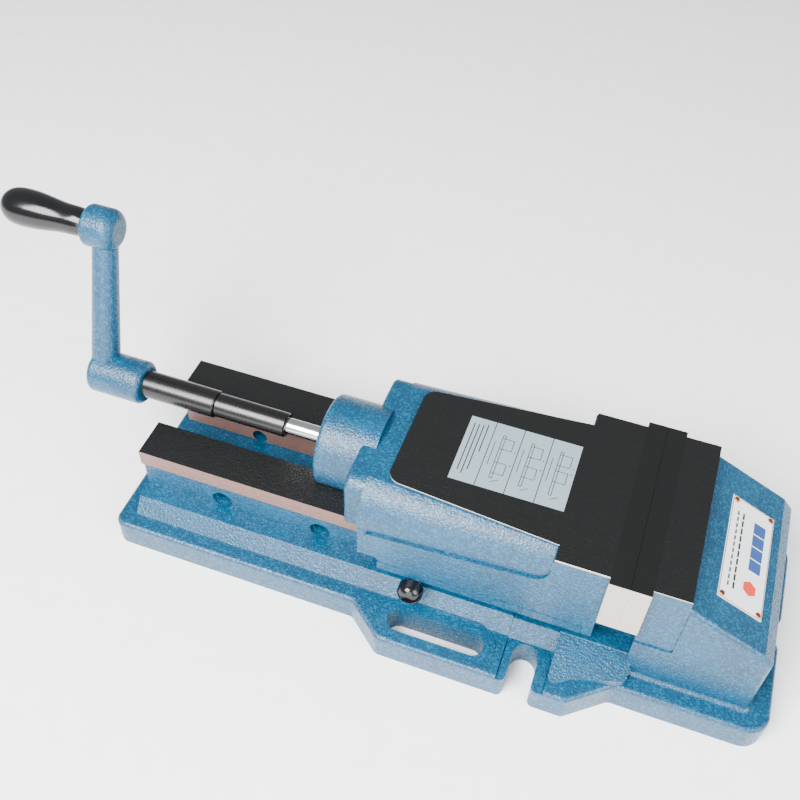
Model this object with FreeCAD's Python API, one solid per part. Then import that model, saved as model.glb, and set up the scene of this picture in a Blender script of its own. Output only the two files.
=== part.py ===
"""Hydraulic quick-position machine vise, 160 mm jaws, as an assembly of separate pieces.

Frame: millimetres, +Z up, +X from the crank towards the fixed jaw.  The origin lies on the table
plane, in the middle of the vise's width, under the line where the closed jaws meet.
"""
import FreeCAD, Part
import math
import os

V = FreeCAD.Vector

# ------------------------------------------------------------------ driving dimensions (mm)
# fits and gaps
RUN = 0.05            # radial clearance of a running or sliding round fit
GAP = 0.3             # clearance between pieces that move past each other
SLIDE = 0.04          # gap under the movable jaw on the bed
OVERLAP = 1.0         # how far joined shapes reach into each other and cuts run past a face
BIG = 60.0            # reach of a cut that is open on one side
TINY = 1e-6           # tolerance when edges are picked by their place
KEY_SHARE = 0.52      # hexagon socket of a cap screw, as shares of its head's radius and height
KEY_FLOOR = 0.4

# jaws
JAW_WIDTH = 160.0
PLATE_THICK = 15.5
JAW_HEIGHT = 55.0     # jaw plates, above the bed
PLATE_OVERHANG = 5.0  # each plate end stands out past its jaw

# base
BED_HEIGHT = 88.0     # top of the rails
RAIL_HALF = 57.0      # half the width over the rails
CHANNEL_HALF = 22.0   # half the channel between the rails
RAIL_LIP = 16.0       # thickness of the overhanging rail lip
LIP_OUT = 3.5         # how far the lip stands out from the wall
REAR_LEN = 412.0      # jaw line to the rear end of the rails
FLANGE_REAR = 428.0   # jaw line to the rear edge of the flange
FLANGE_FRONT = 131.0  # jaw line to the front edge of the flange
FLANGE_MARGIN = 18.0  # the flange reaches this far past the jaws on each side
FLANGE_THICK = 27.0
LEDGE_HEIGHT = 41.5   # inner raised step of the flange
LEDGE_HALF = 69.0
WEB_HALF = 80.0       # foot of the slope that climbs to the ledge
CHANNEL_FLOOR = 43.0
UNDER_DEPTH = 14.0    # hollow under the base
UNDER_WALL = 16.0

# clamping ears on each side
EAR_HALF = 118.0
EAR_REAR = 206.0      # where the ear's slope starts, behind the jaw line
EAR_FULL = 176.0      # where the ear reaches full width
EAR_SPLIT = 59.0      # middle of the open slot
EAR_END_FULL = 20.0
EAR_END = -12.0       # where the ear's slope ends, ahead of the jaw line
SLOT_WIDTH = 20.0     # closed slots and end slots
SLOT_X0 = 163.0       # rear centre of the closed slot
SLOT_X1 = 102.0       # front centre of the closed slot
SLOT_Y = 97.0
RING_WIDTH = 38.0
POCKET = (76.5, 38.0)  # ends of the open slot's pocket, behind the jaw line
POCKET_DEEP = 2.0
OPEN_SLOT = 21.0
OPEN_SLOT_Y = 91.5    # centre of the open slot's round end
OPEN_FLARE = 5.0      # rounded corners at the mouth of an open slot
END_SLOT_DEEP = 17.0
END_FLARE = 7.0
RING_HIGH = 1.0       # raised rings round the slots

# cast details of the base
REAR_CORNER = 10.0    # rounding of the flange's upright corners
FRONT_CORNER = 18.0
EAR_CORNER = 7.0
RIM_ROUND = 3.5       # rounding of the flange's top edge
WEB_STEP = 1.5        # upright step at the foot of the web
BED_OVERRUN = 6.0     # how far the bed runs on behind the fixed jaw plate
CHANNEL_FRONT = 4.0   # front end of the channel, behind the jaw line
REAR_HOLLOW = (382.0, 230.0)   # ends of the rear hollow under the base, behind the jaw line
FRONT_HOLLOW_REAR = 40.0
FRONT_HOLLOW_END = 104.0       # ahead of the jaw line
FRONT_HOLLOW_DEPTH = 26.0
FRONT_HOLLOW_HALF = 65.0
RAMP_FRONT = 20.0     # front end of the ramp beside the open slot, ahead of the jaw line
RAMP_HIGH = 41.0      # its height at the ledge
RAMP_LOW = 29.0       # and at its outer end
RAMP_REACH = (112.0, 90.0)     # its outer edge at the pocket and at its front end
RAMP_CORNER = 5.0

# fixed jaw
FIXED_BACK = 43.0     # back edge of its flat top
SLOPE_TOP_RISE = 45.0  # upper edge of the sloping back, above the bed
FIXED_SLOPE_END = 104.0
SLOPE_LOW_RISE = 16.0  # and its lower edge
FIXED_END = 112.0
FIXED_LIP = 1.0       # step back where the ground top meets the sloping face
FIXED_DRAFT = 1.0     # lean of the end wall
FIXED_END_DROP = 9.0  # drop from the slope's lower edge to the end wall
FIXED_ROUND = 4.0     # rounding along the sides of the slope and of the end wall
FIXED_SIDE = 1.2      # how far the cast sides stand out past the machined sides
FIXED_MACHINED_X = 44.5
MACHINED_DROP = 16.0  # lower end of the machined sides, below the bed
FIXED_MACHINED_CORNER = 4.0
FIXED_WALL = 12.0     # end wall over the hollow
FIXED_HOLLOW_SIDE = 14.0
FIXED_HOLLOW_TOP = 16.0
FIXED_FOOT = 4.0      # rounding where the block meets the flange
FOOT_MARGIN = 11.0
TOP_EDGE = 0.8        # rounding along the sides of the jaws' tops
PLATE_CHAMFER = 0.2

# movable jaw
WIDE_BACK = 56.0      # back of the wide front part
BODY_BACK = 209.0     # joint with the rear cover
BODY_RISE = 52.0      # cast top under the ground pad, above the bed
SHOULDER_IN = 2.5     # widest point of the bulging shoulder, set in from the cheeks
SHOULDER_RISES = (12.0, 24.0)  # lower edge of the shoulder above the bed, at its back and front
PAD_BACK = 194.0      # ground pad on top
PAD_HALF_BACK = 49.0
PAD_HALF_FRONT = 61.0
CAVITY_HALF = 34.0
CAVITY_RISE = 46.0    # top of the cavity above the bed
CAVITY_FRONT = 50.0
SKIRT_DROP = 20.0     # the jaw's sides reach down this far beside the rails
KEEPER_THICK = 10.5
KEEPER_PROUD = 0.6    # the keepers stand out past the jaw's sides
KEEPER_FRONT = 24.0
KEEPER_BACK = 191.0
KEEPER_EDGE = 1.5
KEEPER_GAP = 0.1      # under the rail lip
WIDE_DROP = 30.0      # the wide front part reaches down further
THRUST_R = (17.0, 8.0)         # thrust pad: flange and tip radius
THRUST_LEN = (5.0, 12.0)       # ends of its flange and tip, ahead of the cavity's wall
THRUST_PROUD = 1.5
SHOULDER_BULGE = (0.74, 0.69)  # point of the shoulder's arc, as shares of its reach and rise
CHEEK_BACK = 203.0    # flat cheek below the shoulder
CHEEK_LOW_RUN = 14.0  # corner cut off the cheek at the bottom
CHEEK_ROUND = 6.0
CHEEK_FRONT_ROUND = 16.0
PAD_CORNER = 11.0
PAD_STEM = 3.0        # how far the pad reaches down into the body

# rear cover and nose
COVER_THICK = 16.0
COVER_HALF = 62.0
COVER_RISE = 51.0     # top of the cover above the bed
NOSE_END = 262.0
NOSE_R = 38.5
NOSE_ROUND = 4.0
COVER_CORNER = 13.0
COVER_ROUND = 3.5
COVER_CLEAR = 1.0     # gap between the cover and the bed

# screw, booster and drive, all on one axis
AXIS_RISE = 19.0      # axis above the bed
AXIS_Z = BED_HEIGHT + AXIS_RISE
SCREW_R = 20.0
SCREW_FRONT = 58.0
JOURNAL_R = 15.0
OIL_BORE_R = 13.0
PLUNGER_R = 6.0
ROD_R = 7.0
SLEEVE_R = 10.5
SHAFT_R = 12.0
SLEEVE_BACK = 364.0   # rear end of the clutch sleeve
SLEEVE_FRONT = 299.0
SHAFT_END = 476.0

# bearing in the nose, and the booster inside the screw
BEARING_LEN = 8.0
BEARING_R = 26.0
WASHER_THICK = 2.2
BALL_R = 2.0
BALL_COUNT = 10
CAGE_HALF = 0.8
BUSH_R = 19.0
BUSH_END = 240.0
NUT_RING_R = 22.0
CAP_R = 25.0
CAP_THICK = 5.0
CAP_INSET = 1.0
WIPER_SUNK = 0.5
NUT_GAP = 1.0         # from the bush to the locknut
CAGE_MARGIN = 1.5
FILL_SUNK = 1.5
WIPER_WALL = 5.0
RAM_BACK = 84.0
RAM_STEP = 70.0
RAM_REACH = 3.5       # from the ram's nose to the cavity's front wall
OIL_BACK = 100.0
PLUNGER_BACK = 156.0
PLUNGER_LEN = 40.0
GLAND_BACK = 64.0
RAM_NOSE_R = 9.0
COLLAR_R = 25.0
COLLAR_LEN = 6.0
JOURNAL_END = 252.0
FILL_R = 3.0          # oil filling hole
FILL_BACK = 6.0
RAM_SEAL = (4.0, 3.0, 2.5)     # start ahead of the ram's rear end, length, depth
PLUNGER_SEAL = (33.0, 2.0, 1.6)
DISC_COUNT = 3
DISC_PITCH = 1.5
DISC_RISE = 0.7

# joints in the drive line
ROD_GRIP = 30.0       # length of the rod and of the spigot inside the sleeve
SPIGOT_GRIP = 24.0
COUPLING_PIN_R = 2.0
COUPLING_PIN_IN = (15.0, 12.0)  # from the sleeve's two ends
PIN_FLUSH = 0.3
CLUTCH_COIL = (4.5, 1.0, 4)     # mean radius, wire radius, turns

# nut block and locking pin
PIN_PITCH = 90.0
PIN_COUNT = 3
PIN_X = 160.0         # pin position in use, behind the jaw line
PIN_CLEAR = 0.5       # from the pin up to the keeper over it
PIN_R = 7.0
KNOB_R = 10.5
KNOB_LEN = 13.0
KNOB_DOME = 7.5
KNOB_NECK = 1.0       # rounding of the knob's inner edge
KNOB_GAP = 1.5        # from the keeper to the knob
PIN_GRIP = 6.4        # pin length inside the knob
PIN_INSET = 4.0       # how far the pin's far end stays inside its wall
GROOVE_HALF = 3.0     # half the width of the detent groove
GROOVE_DEEP = 1.0
DETENT_Y = 36.0
DETENT_R = 3.0
DETENT_PLUG = 7.0
DETENT_SUNK = 1.0
DETENT_WIRE = 0.5
DETENT_TURNS = 5
PIN_MOUTH = 2.0       # counterbore round a pin hole
PIN_CHAMFER = 1.5
DRIVER_HALF = 0.5     # screwdriver slot in a grub screw
DRIVER_DEEP = 2.0
POST_SHARE = 0.7      # post that joins a spring's rings, as a share of its wire
NUT_HEADROOM = 1.5
NUT_BLOCK_ROUND = 8.0
NUT_FLANGE = (5.0, 2.0)        # length and rise of the nut's flange
NUT_LEN = 34.0
NUT_WALL = 4.0        # thickness of the nut round the screw
NUT_BLOCK_HALF = 30.0

# crank
CRANK_LENGTH = 132.5
CRANK_TILT = 19.4     # degrees from upright, leaning to +Y
CRANK_X = 472.0       # plane of the arm, behind the jaw line
HUB_R = 19.0
HUB_FRONT = 431.0
ARM_R = 10.5
BOSS_R = 17.5
GRIP_LEN = 78.0
GRIP_R = 16.0
GRIP_GAP = 1.5        # washer between boss and grip
GRIP_BOLT_R = 4.0
GRIP_BOLT_IN = 22.0   # bolt length inside the boss
GRIP_CAP = 12.0       # grip left solid past the bolt
BOSS_BACK_LEN = 15.0
BOSS_FRONT_LEN = 13.0
SET_SCREW_X = 446.0
SET_SCREW_R = 3.0
SET_SCREW_SUNK = 1.0
SHAFT_CHAMFER = 1.0
HUB_CAP = 6.0         # hub beyond the shaft's end
HUB_ROUND = 5.0
BOSS_ROUND = (3.0, 9.0)        # rounding of the boss behind and in front
WASHER_R = 11.5
# bulb of the grip: shares of its length from the outer end, and of its radius
GRIP_CURVE = [
    (0.0, 0.0), (0.03, 0.55), (0.12, 0.88), (0.28, 1.0), (0.5, 0.93), (0.75, 0.78), (0.92, 0.74), (1.0, 0.66),
]
ARM_TAPER = 2.0

# fasteners and keyways
PLATE_SCREW_Y = 45.0
PLATE_SCREW_RISE = 0.5  # share of the jaw plate's height
PLATE_SEAT = 5.0      # plate left under the screw's head, from the seat to the jaw
PLATE_SCREW = dict(head_r=9.0, head_h=10.0, shank_r=6.0, shank_l=26.0)
COVER_SCREW_Y = 51.0
COVER_SCREW_RISES = (38.0, 11.0)  # above the bed
COVER_SCREW = dict(head_r=6.5, head_h=7.0, shank_r=4.0, shank_l=24.0)
COVER_SCREW_SUNK = 1.0
KEEPER_SCREW_X = [-178.0, -133.0, -88.0, -43.0]
KEEPER_SCREW = dict(head_r=5.0, head_h=6.0, shank_r=3.0, shank_l=20.0)
KEEPER_SCREW_Y = 67.0
KEEPER_SCREW_SUNK = 0.5
KEYWAY_WIDTH = 18.0
KEYWAY_LEN = 40.0
KEYWAY_DEEP = 6.0
KEYWAY_X = [-330.0, 70.0]

# plates and labels
NAMEPLATE = (40.0, 95.5, 0.8)  # length down the slope, width, thickness
NAMEPLATE_SHIFT = (5.0, -1.75)  # from the middle of the slope, down it and across
RIVET_INSET = 3.5
RIVET_R = 1.2
RIVET_HEAD_R = 2.2
RIVET_HEAD = 1.0
RIVET_HEAD_ROUND = 0.8
RIVET_LEN = 6.0
LABEL = (91.0, 66.0, 0.2)
LABEL_BACK = 43.0     # from the pad's rear edge to the label
LABEL_SHIFT = 2.0

SIDES = (-1, 1)


# ------------------------------------------------------------------ helpers
def box(x0, x1, y0, y1, z0, z1):
    """Box between two corners."""
    return Part.makeBox(x1 - x0, y1 - y0, z1 - z0, V(x0, y0, z0))


def rod(x0, x1, r, y=0.0, z=AXIS_Z):
    """Cylinder along X."""
    return Part.makeCylinder(r, x1 - x0, V(x0, y, z), V(1, 0, 0))


def tube(x0, x1, r_out, r_in, y=0.0, z=AXIS_Z):
    """Ring along X."""
    return rod(x0, x1, r_out, y, z).cut(rod(x0 - OVERLAP, x1 + OVERLAP, r_in, y, z))


def pillar(x, y, z0, z1, r):
    """Cylinder along Z."""
    return Part.makeCylinder(r, z1 - z0, V(x, y, z0), V(0, 0, 1))


def cross(x, z, y0, y1, r):
    """Cylinder along Y."""
    return Part.makeCylinder(r, y1 - y0, V(x, y0, z), V(0, 1, 0))


def prism(points, direction):
    """Polygon of 3-D points pushed along a direction."""
    wire = Part.makePolygon([V(*p) for p in points + points[:1]])
    return Part.Face(wire).extrude(V(*direction))


def turned(profile, centre=(0.0, AXIS_Z)):
    """Solid turned about the X axis line from (x, radius) points."""
    y, z = centre
    wire = Part.makePolygon([V(x, y, z + r) for x, r in profile + profile[:1]])
    return Part.Face(wire).revolve(V(0, y, z), V(1, 0, 0), 360)


def obround(x0, x1, y, z0, z1, width):
    """Slot body with round ends, lying along X."""
    r = width / 2.0
    middle = box(x0, x1, y - r, y + r, z0, z1)
    return middle.fuse([pillar(x0, y, z0, z1, r), pillar(x1, y, z0, z1, r)]).removeSplitter()


def upright(e):
    """True for a straight edge along Z."""
    if len(e.Vertexes) != 2:
        return False
    a, b = (v.Point for v in e.Vertexes)
    return abs(a.x - b.x) < TINY and abs(a.y - b.y) < TINY


def open_slot(x, y, turn, width, reach, flare, z0, z1):
    """Slot with a round end at (x, y), running out at the angle turn to an edge at the distance reach."""
    r = width / 2.0
    body = box(0, reach + OVERLAP, -r, r, z0, z1).fuse(pillar(0, 0, z0, z1, r))
    mouth = box(reach - flare, reach + OVERLAP, -r - flare, r + flare, z0, z1)
    corners = [pillar(reach - flare, s * (r + flare), z0, z1, flare) for s in SIDES]
    body = body.fuse(mouth.cut(corners)).removeSplitter()
    body.rotate(V(0, 0, 0), V(0, 0, 1), turn)
    body.translate(V(x, y, 0))
    return body


def flat_at(shape, z):
    """Edges that lie flat at the height z."""
    return [e for e in shape.Edges if abs(e.BoundBox.ZMin - z) < TINY and abs(e.BoundBox.ZMax - z) < TINY]


def cap_screw(base, direction, head_r, head_h, shank_r, shank_l):
    """Socket cap screw: base is the seat under the head, direction points out of the head."""
    d = V(*direction)
    seat = V(*base)
    head = Part.makeCylinder(head_r, head_h, seat, d)
    shank = Part.makeCylinder(shank_r, shank_l, seat - d * shank_l, d)
    side = V(0, 0, 1) if abs(d.z) < TINY else V(1, 0, 0)
    other = d.cross(side)
    key = head_r * KEY_SHARE
    floor = seat + d * (head_h * KEY_FLOOR)
    ring = []
    for k in range(6):
        angle = math.radians(60 * k)
        ring.append(floor + side * (key * math.cos(angle)) + other * (key * math.sin(angle)))
    socket = Part.Face(Part.makePolygon(ring + ring[:1])).extrude(d * head_h)
    return head.fuse(shank).removeSplitter().cut(socket)


def screw_hole(base, direction, head_r, head_h, shank_r, shank_l):
    """Counterbored hole for a cap screw, open above the head."""
    d = V(*direction)
    seat = V(*base)
    head = Part.makeCylinder(head_r + GAP, head_h + BIG, seat, d)
    shank = Part.makeCylinder(shank_r, shank_l + OVERLAP, seat - d * (shank_l + OVERLAP), d)
    return head.fuse(shank)


def group(solids):
    """Several separate solids kept as one node."""
    return Part.makeCompound(solids)


# ------------------------------------------------------------------ places shared by several pieces
TOP = BED_HEIGHT + JAW_HEIGHT
BODY_TOP = BED_HEIGHT + BODY_RISE
CAVITY_TOP = BED_HEIGHT + CAVITY_RISE
COVER_TOP = BED_HEIGHT + COVER_RISE
COVER_SCREW_YZ = [(COVER_SCREW_Y, BED_HEIGHT + rise) for rise in COVER_SCREW_RISES]
SHOULDER_LOW_BACK, SHOULDER_LOW_FRONT = [BED_HEIGHT + rise for rise in SHOULDER_RISES]
FIXED_SLOPE_TOP = BED_HEIGHT + SLOPE_TOP_RISE
FIXED_SLOPE_LOW = BED_HEIGHT + SLOPE_LOW_RISE
SKIRT_BOTTOM = BED_HEIGHT - SKIRT_DROP
KEEPER_BOTTOM = SKIRT_BOTTOM - KEEPER_THICK
WIDE_BOTTOM = BED_HEIGHT - WIDE_DROP
PIN_Z = KEEPER_BOTTOM - PIN_CLEAR - PIN_R
PLATE_SCREW_Z = BED_HEIGHT + JAW_HEIGHT * PLATE_SCREW_RISE
KEEPER_SEAT = KEEPER_BOTTOM + KEEPER_SCREW["head_h"] + KEEPER_SCREW_SUNK
COVER_FLOOR = BED_HEIGHT + COVER_CLEAR
WALL_HALF = RAIL_HALF - LIP_OUT
RAIL_UNDER = BED_HEIGHT - RAIL_LIP
JAW_HALF = JAW_WIDTH / 2.0 - PLATE_OVERHANG
FLANGE_HALF = JAW_HALF + FLANGE_MARGIN
SHOULDER_HALF = JAW_HALF - SHOULDER_IN
KEEPER_HALF = JAW_HALF + KEEPER_PROUD
SLOPE_BACK = FIXED_BACK + FIXED_LIP
SLOPE_RUN = FIXED_SLOPE_END - SLOPE_BACK
SLOPE_DROP = FIXED_SLOPE_TOP - FIXED_SLOPE_LOW
PIN_PLACES = [-(PIN_X + PIN_PITCH * k) for k in range(PIN_COUNT)]
PIN_OUTER = KEEPER_HALF + KNOB_GAP + PIN_GRIP
NUT_X = (-PIN_X - NUT_LEN / 2, -PIN_X + NUT_LEN / 2)
NUT_R = SCREW_R + NUT_WALL
DETENT_TOP = BED_HEIGHT - DETENT_SUNK - DETENT_PLUG
BEARING_X = BODY_BACK + BEARING_LEN
ROD_BACK = SLEEVE_FRONT + ROD_GRIP
SPIGOT_FRONT = SLEEVE_BACK - SPIGOT_GRIP
COUPLING_PIN_X = [SLEEVE_FRONT + COUPLING_PIN_IN[0], SLEEVE_BACK - COUPLING_PIN_IN[1]]
CRANK_TOP = AXIS_Z + CRANK_LENGTH
BOSS_BACK = CRANK_X + BOSS_BACK_LEN
BOSS_FRONT = CRANK_X - BOSS_FRONT_LEN
BOLT_X = (-BOSS_BACK - GRIP_LEN + GRIP_CAP, -BOSS_BACK + GRIP_BOLT_IN)


# ------------------------------------------------------------------ base
def flange():
    """Flange of the base with its two ears, all corners and the upper rim rounded."""
    near = [
        (-FLANGE_REAR, -FLANGE_HALF), (-EAR_REAR, -FLANGE_HALF), (-EAR_FULL, -EAR_HALF),
        (-EAR_END_FULL, -EAR_HALF), (-EAR_END, -FLANGE_HALF), (FLANGE_FRONT, -FLANGE_HALF),
    ]
    outline = near + [(x, -y) for x, y in reversed(near)]
    slab = prism([(x, y, 0.0) for x, y in outline], (0, 0, FLANGE_THICK))
    ear_zone = (-EAR_REAR - OVERLAP, -EAR_END + OVERLAP)
    for radius, x0, x1 in (
        (REAR_CORNER, -FLANGE_REAR - OVERLAP, ear_zone[0]),
        (EAR_CORNER, *ear_zone),
        (FRONT_CORNER, ear_zone[1], FLANGE_FRONT + OVERLAP),
    ):
        corners = [e for e in slab.Edges if upright(e) and x0 < e.BoundBox.Center.x < x1]
        slab = slab.makeFillet(radius, corners)
    return slab.makeFillet(RIM_ROUND, flat_at(slab, FLANGE_THICK))


def web_line(drop=0.0):
    """Half section of the web that climbs from the flange to the ledge, from outside to the wall."""
    return [
        (-WEB_HALF, FLANGE_THICK + WEB_STEP - drop),
        (-LEDGE_HALF, LEDGE_HEIGHT - drop),
        (-WALL_HALF, LEDGE_HEIGHT - drop),
    ]


def bed():
    """Webs, walls and rails, the full length of the bed."""
    half = [(-WEB_HALF, FLANGE_THICK - OVERLAP)] + web_line()
    half += [(-WALL_HALF, RAIL_UNDER), (-RAIL_HALF, RAIL_UNDER), (-RAIL_HALF, BED_HEIGHT)]
    section = half + [(-y, z) for y, z in reversed(half)]
    length = REAR_LEN + PLATE_THICK + BED_OVERRUN
    return prism([(-REAR_LEN, y, z) for y, z in section], (length, 0, 0))


def fixed_jaw():
    """Block of the fixed jaw with its sloping back, on a rounded foot."""
    half = JAW_HALF + FIXED_SIDE
    end_low = FIXED_SLOPE_LOW - FIXED_END_DROP
    side = [
        (PLATE_THICK, FLANGE_THICK - OVERLAP), (PLATE_THICK, TOP), (FIXED_BACK, TOP),
        (SLOPE_BACK, FIXED_SLOPE_TOP), (FIXED_SLOPE_END, FIXED_SLOPE_LOW), (FIXED_END, end_low),
        (FIXED_END + FIXED_DRAFT, FLANGE_THICK - OVERLAP),
    ]
    block = prism([(x, -half, z) for x, z in side], (0, 2 * half, 0))
    outer = [e for e in block.Edges if e.BoundBox.YLength < TINY and e.BoundBox.XMin > SLOPE_BACK - TINY]
    block = block.makeFillet(FIXED_ROUND, outer)
    slab = box(PLATE_THICK, FIXED_END + FOOT_MARGIN, -half - FOOT_MARGIN, half + FOOT_MARGIN,
               FLANGE_THICK - FIXED_FOOT, FLANGE_THICK)
    block = block.fuse(slab).removeSplitter()
    foot = [e for e in flat_at(block, FLANGE_THICK) if abs(e.BoundBox.Center.y) < half + TINY
            and PLATE_THICK + TINY < e.BoundBox.XMax < FIXED_END + FIXED_DRAFT + TINY]
    block = block.makeFillet(FIXED_FOOT, foot)
    machined = []
    low = BED_HEIGHT - MACHINED_DROP
    for s in SIDES:
        y0, y1 = sorted((s * JAW_HALF, s * (half + OVERLAP)))
        cut = box(PLATE_THICK - OVERLAP, FIXED_MACHINED_X, y0, y1, low, TOP + OVERLAP)
        corner = [e for e in cut.Edges if abs(e.BoundBox.XMin - FIXED_MACHINED_X) < TINY
                  and abs(e.BoundBox.ZMax - low) < TINY and e.BoundBox.YLength > TINY]
        machined.append(cut.makeFillet(FIXED_MACHINED_CORNER, corner))
    return block.cut(machined)


def ramp(side):
    """Sloping pad beside an open slot, falling from the ledge towards the edge of the ear."""
    rear = -POCKET[1]
    outline = [
        (rear, LEDGE_HALF - OVERLAP), (RAMP_FRONT - RAMP_CORNER * 2, LEDGE_HALF - OVERLAP),
        (RAMP_FRONT, LEDGE_HALF + RAMP_CORNER), (RAMP_FRONT, RAMP_REACH[1]),
        (-EAR_END_FULL, (RAMP_REACH[0] + RAMP_REACH[1]) / 2), (rear, RAMP_REACH[0]),
    ]
    pad = prism([(x, side * y, FLANGE_THICK - OVERLAP) for x, y in outline], (0, 0, RAMP_HIGH))
    outer = [e for e in pad.Edges if upright(e) and abs(e.BoundBox.Center.y) > WEB_HALF]
    pad = pad.makeFillet(RAMP_CORNER, outer)
    slant = [
        (LEDGE_HALF, RAMP_HIGH), (RAMP_REACH[0], RAMP_LOW), (RAMP_REACH[0] + OVERLAP, RAMP_LOW),
        (RAMP_REACH[0] + OVERLAP, TOP), (0.0, TOP), (0.0, RAMP_HIGH),
    ]
    above = prism([(rear - OVERLAP, side * y, z) for y, z in slant], (RAMP_FRONT - rear + 2 * OVERLAP, 0, 0))
    return pad.cut(above)


def slot_rings():
    """Raised rings round the closed and the open slots."""
    low = FLANGE_THICK - POCKET_DEEP - OVERLAP
    r = RING_WIDTH / 2.0
    middle = -(POCKET[0] + POCKET[1]) / 2
    made = []
    for s in SIDES:
        made.append(obround(-SLOT_X0, -SLOT_X1, s * SLOT_Y, low, FLANGE_THICK + RING_HIGH, RING_WIDTH))
        y0, y1 = sorted((s * OPEN_SLOT_Y, s * (EAR_HALF - RIM_ROUND)))
        high = FLANGE_THICK - POCKET_DEEP + RING_HIGH
        made.append(pillar(middle, s * OPEN_SLOT_Y, low, high, r - OVERLAP))
        made.append(box(middle - r + OVERLAP, middle + r - OVERLAP, y0, y1, low, high))
    return made


def ear_cuts():
    """Spot faces over the closed slots and the pockets of the open slots."""
    cuts = []
    for s in SIDES:
        cuts.append(obround(-SLOT_X0, -SLOT_X1, s * SLOT_Y, FLANGE_THICK + RING_HIGH, BIG, RING_WIDTH))
        floor = FLANGE_THICK - POCKET_DEEP
        line = [(-EAR_HALF - OVERLAP, floor), (-WEB_HALF, floor)] + web_line(POCKET_DEEP)
        line += [(-WALL_HALF, BIG), (-EAR_HALF - OVERLAP, BIG)]
        cuts.append(prism([(-POCKET[0], -s * y, z) for y, z in line], (POCKET[0] - POCKET[1], 0, 0)))
    return cuts


def slot_cuts():
    """Closed, open and end slots for the clamping studs."""
    reach = (-OVERLAP, FLANGE_THICK + BIG)
    cuts = []
    for s in SIDES:
        cuts.append(obround(-SLOT_X0, -SLOT_X1, s * SLOT_Y, *reach, SLOT_WIDTH))
        run = EAR_HALF - OPEN_SLOT_Y
        cuts.append(open_slot(-EAR_SPLIT, s * OPEN_SLOT_Y, s * 90, OPEN_SLOT, run, OPEN_FLARE, *reach))
    run = END_SLOT_DEEP - SLOT_WIDTH / 2
    low = (-OVERLAP, FLANGE_THICK + OVERLAP)
    cuts.append(open_slot(-FLANGE_REAR + run, 0, 180, SLOT_WIDTH, run, END_FLARE, *low))
    cuts.append(open_slot(FLANGE_FRONT - run, 0, 0, SLOT_WIDTH, run, END_FLARE, *low))
    return cuts


def hollow_cuts():
    """Channel between the rails and the cast hollows, which are open below."""
    rib = KEYWAY_WIDTH
    inner = FLANGE_HALF - UNDER_WALL
    rear = -FLANGE_REAR - OVERLAP
    cuts = [box(rear, -CHANNEL_FRONT, -CHANNEL_HALF, CHANNEL_HALF, CHANNEL_FLOOR, TOP + OVERLAP)]
    for s in SIDES:
        for x0, x1, half, z0, z1 in (
            (-REAR_HOLLOW[0], -REAR_HOLLOW[1], inner, -OVERLAP, UNDER_DEPTH),
            (-FRONT_HOLLOW_REAR, FRONT_HOLLOW_END, FRONT_HOLLOW_HALF, -OVERLAP, FRONT_HOLLOW_DEPTH),
            (FIXED_BACK, FIXED_END - FIXED_WALL, JAW_HALF - FIXED_HOLLOW_SIDE, UNDER_DEPTH,
             FIXED_SLOPE_LOW - FIXED_HOLLOW_TOP),
        ):
            y0, y1 = sorted((s * rib, s * half))
            cuts.append(box(x0, x1, y0, y1, z0, z1))
    return cuts


def base_hole_cuts():
    """Pin holes, plate screw holes, keyways, detent bore and rivet holes."""
    cuts = []
    for x in PIN_PLACES:
        cuts.append(cross(x, PIN_Z, -RAIL_HALF - OVERLAP, RAIL_HALF + OVERLAP, PIN_R + RUN))
        cuts.append(cross(x, PIN_Z, -LEDGE_HALF, -WALL_HALF + PIN_INSET, PIN_R + PIN_MOUTH))
    for s in SIDES:
        cuts.append(plate_screw_bore(PLATE_THICK, 1, s))
    for x in KEYWAY_X:
        cuts.append(box(x - KEYWAY_LEN / 2, x + KEYWAY_LEN / 2, -KEYWAY_WIDTH / 2, KEYWAY_WIDTH / 2,
                        -OVERLAP, KEYWAY_DEEP))
    cuts.append(pillar(PIN_PLACES[0], -DETENT_Y, PIN_Z, BED_HEIGHT + OVERLAP, DETENT_R))
    return cuts + rivet_shapes(-RIVET_LEN, 0.0, RIVET_R)


def base_casting():
    """Bed, rails, flange with ears, and the fixed jaw, cast in one piece."""
    body = flange().fuse([bed(), fixed_jaw(), ramp(-1), ramp(1)]).removeSplitter()
    body = body.cut(ear_cuts()).fuse(slot_rings())
    return body.cut(hollow_cuts() + slot_cuts()).cut(base_hole_cuts()).removeSplitter()


def slope_place(shape):
    """Lay a flat shape (built round the origin, +Z out) on the fixed jaw's sloping back."""
    run = SLOPE_RUN / 2
    angle = math.degrees(math.atan2(SLOPE_DROP, SLOPE_RUN))
    lifted = shape.copy()
    lifted.translate(V(*NAMEPLATE_SHIFT, 0))
    place = V(SLOPE_BACK + run, 0, FIXED_SLOPE_TOP - SLOPE_DROP / 2)
    lifted.transformShape(FreeCAD.Placement(place, FreeCAD.Rotation(V(0, 1, 0), angle)).toMatrix())
    return lifted


def rivet_shapes(z0, z1, radius):
    """Four rivet bodies at the nameplate's corners."""
    length, width, _ = NAMEPLATE
    made = []
    for sx in SIDES:
        for sy in SIDES:
            place = V(sx * (length / 2 - RIVET_INSET), sy * (width / 2 - RIVET_INSET), z0)
            made.append(slope_place(Part.makeCylinder(radius, z1 - z0, place)))
    return made


def nameplate():
    """Thin plate riveted to the fixed jaw's sloping back."""
    length, width, thick = NAMEPLATE
    plate = slope_place(box(-length / 2, length / 2, -width / 2, width / 2, 0, thick))
    return plate.cut(rivet_shapes(-OVERLAP, thick + OVERLAP, RIVET_R))


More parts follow.
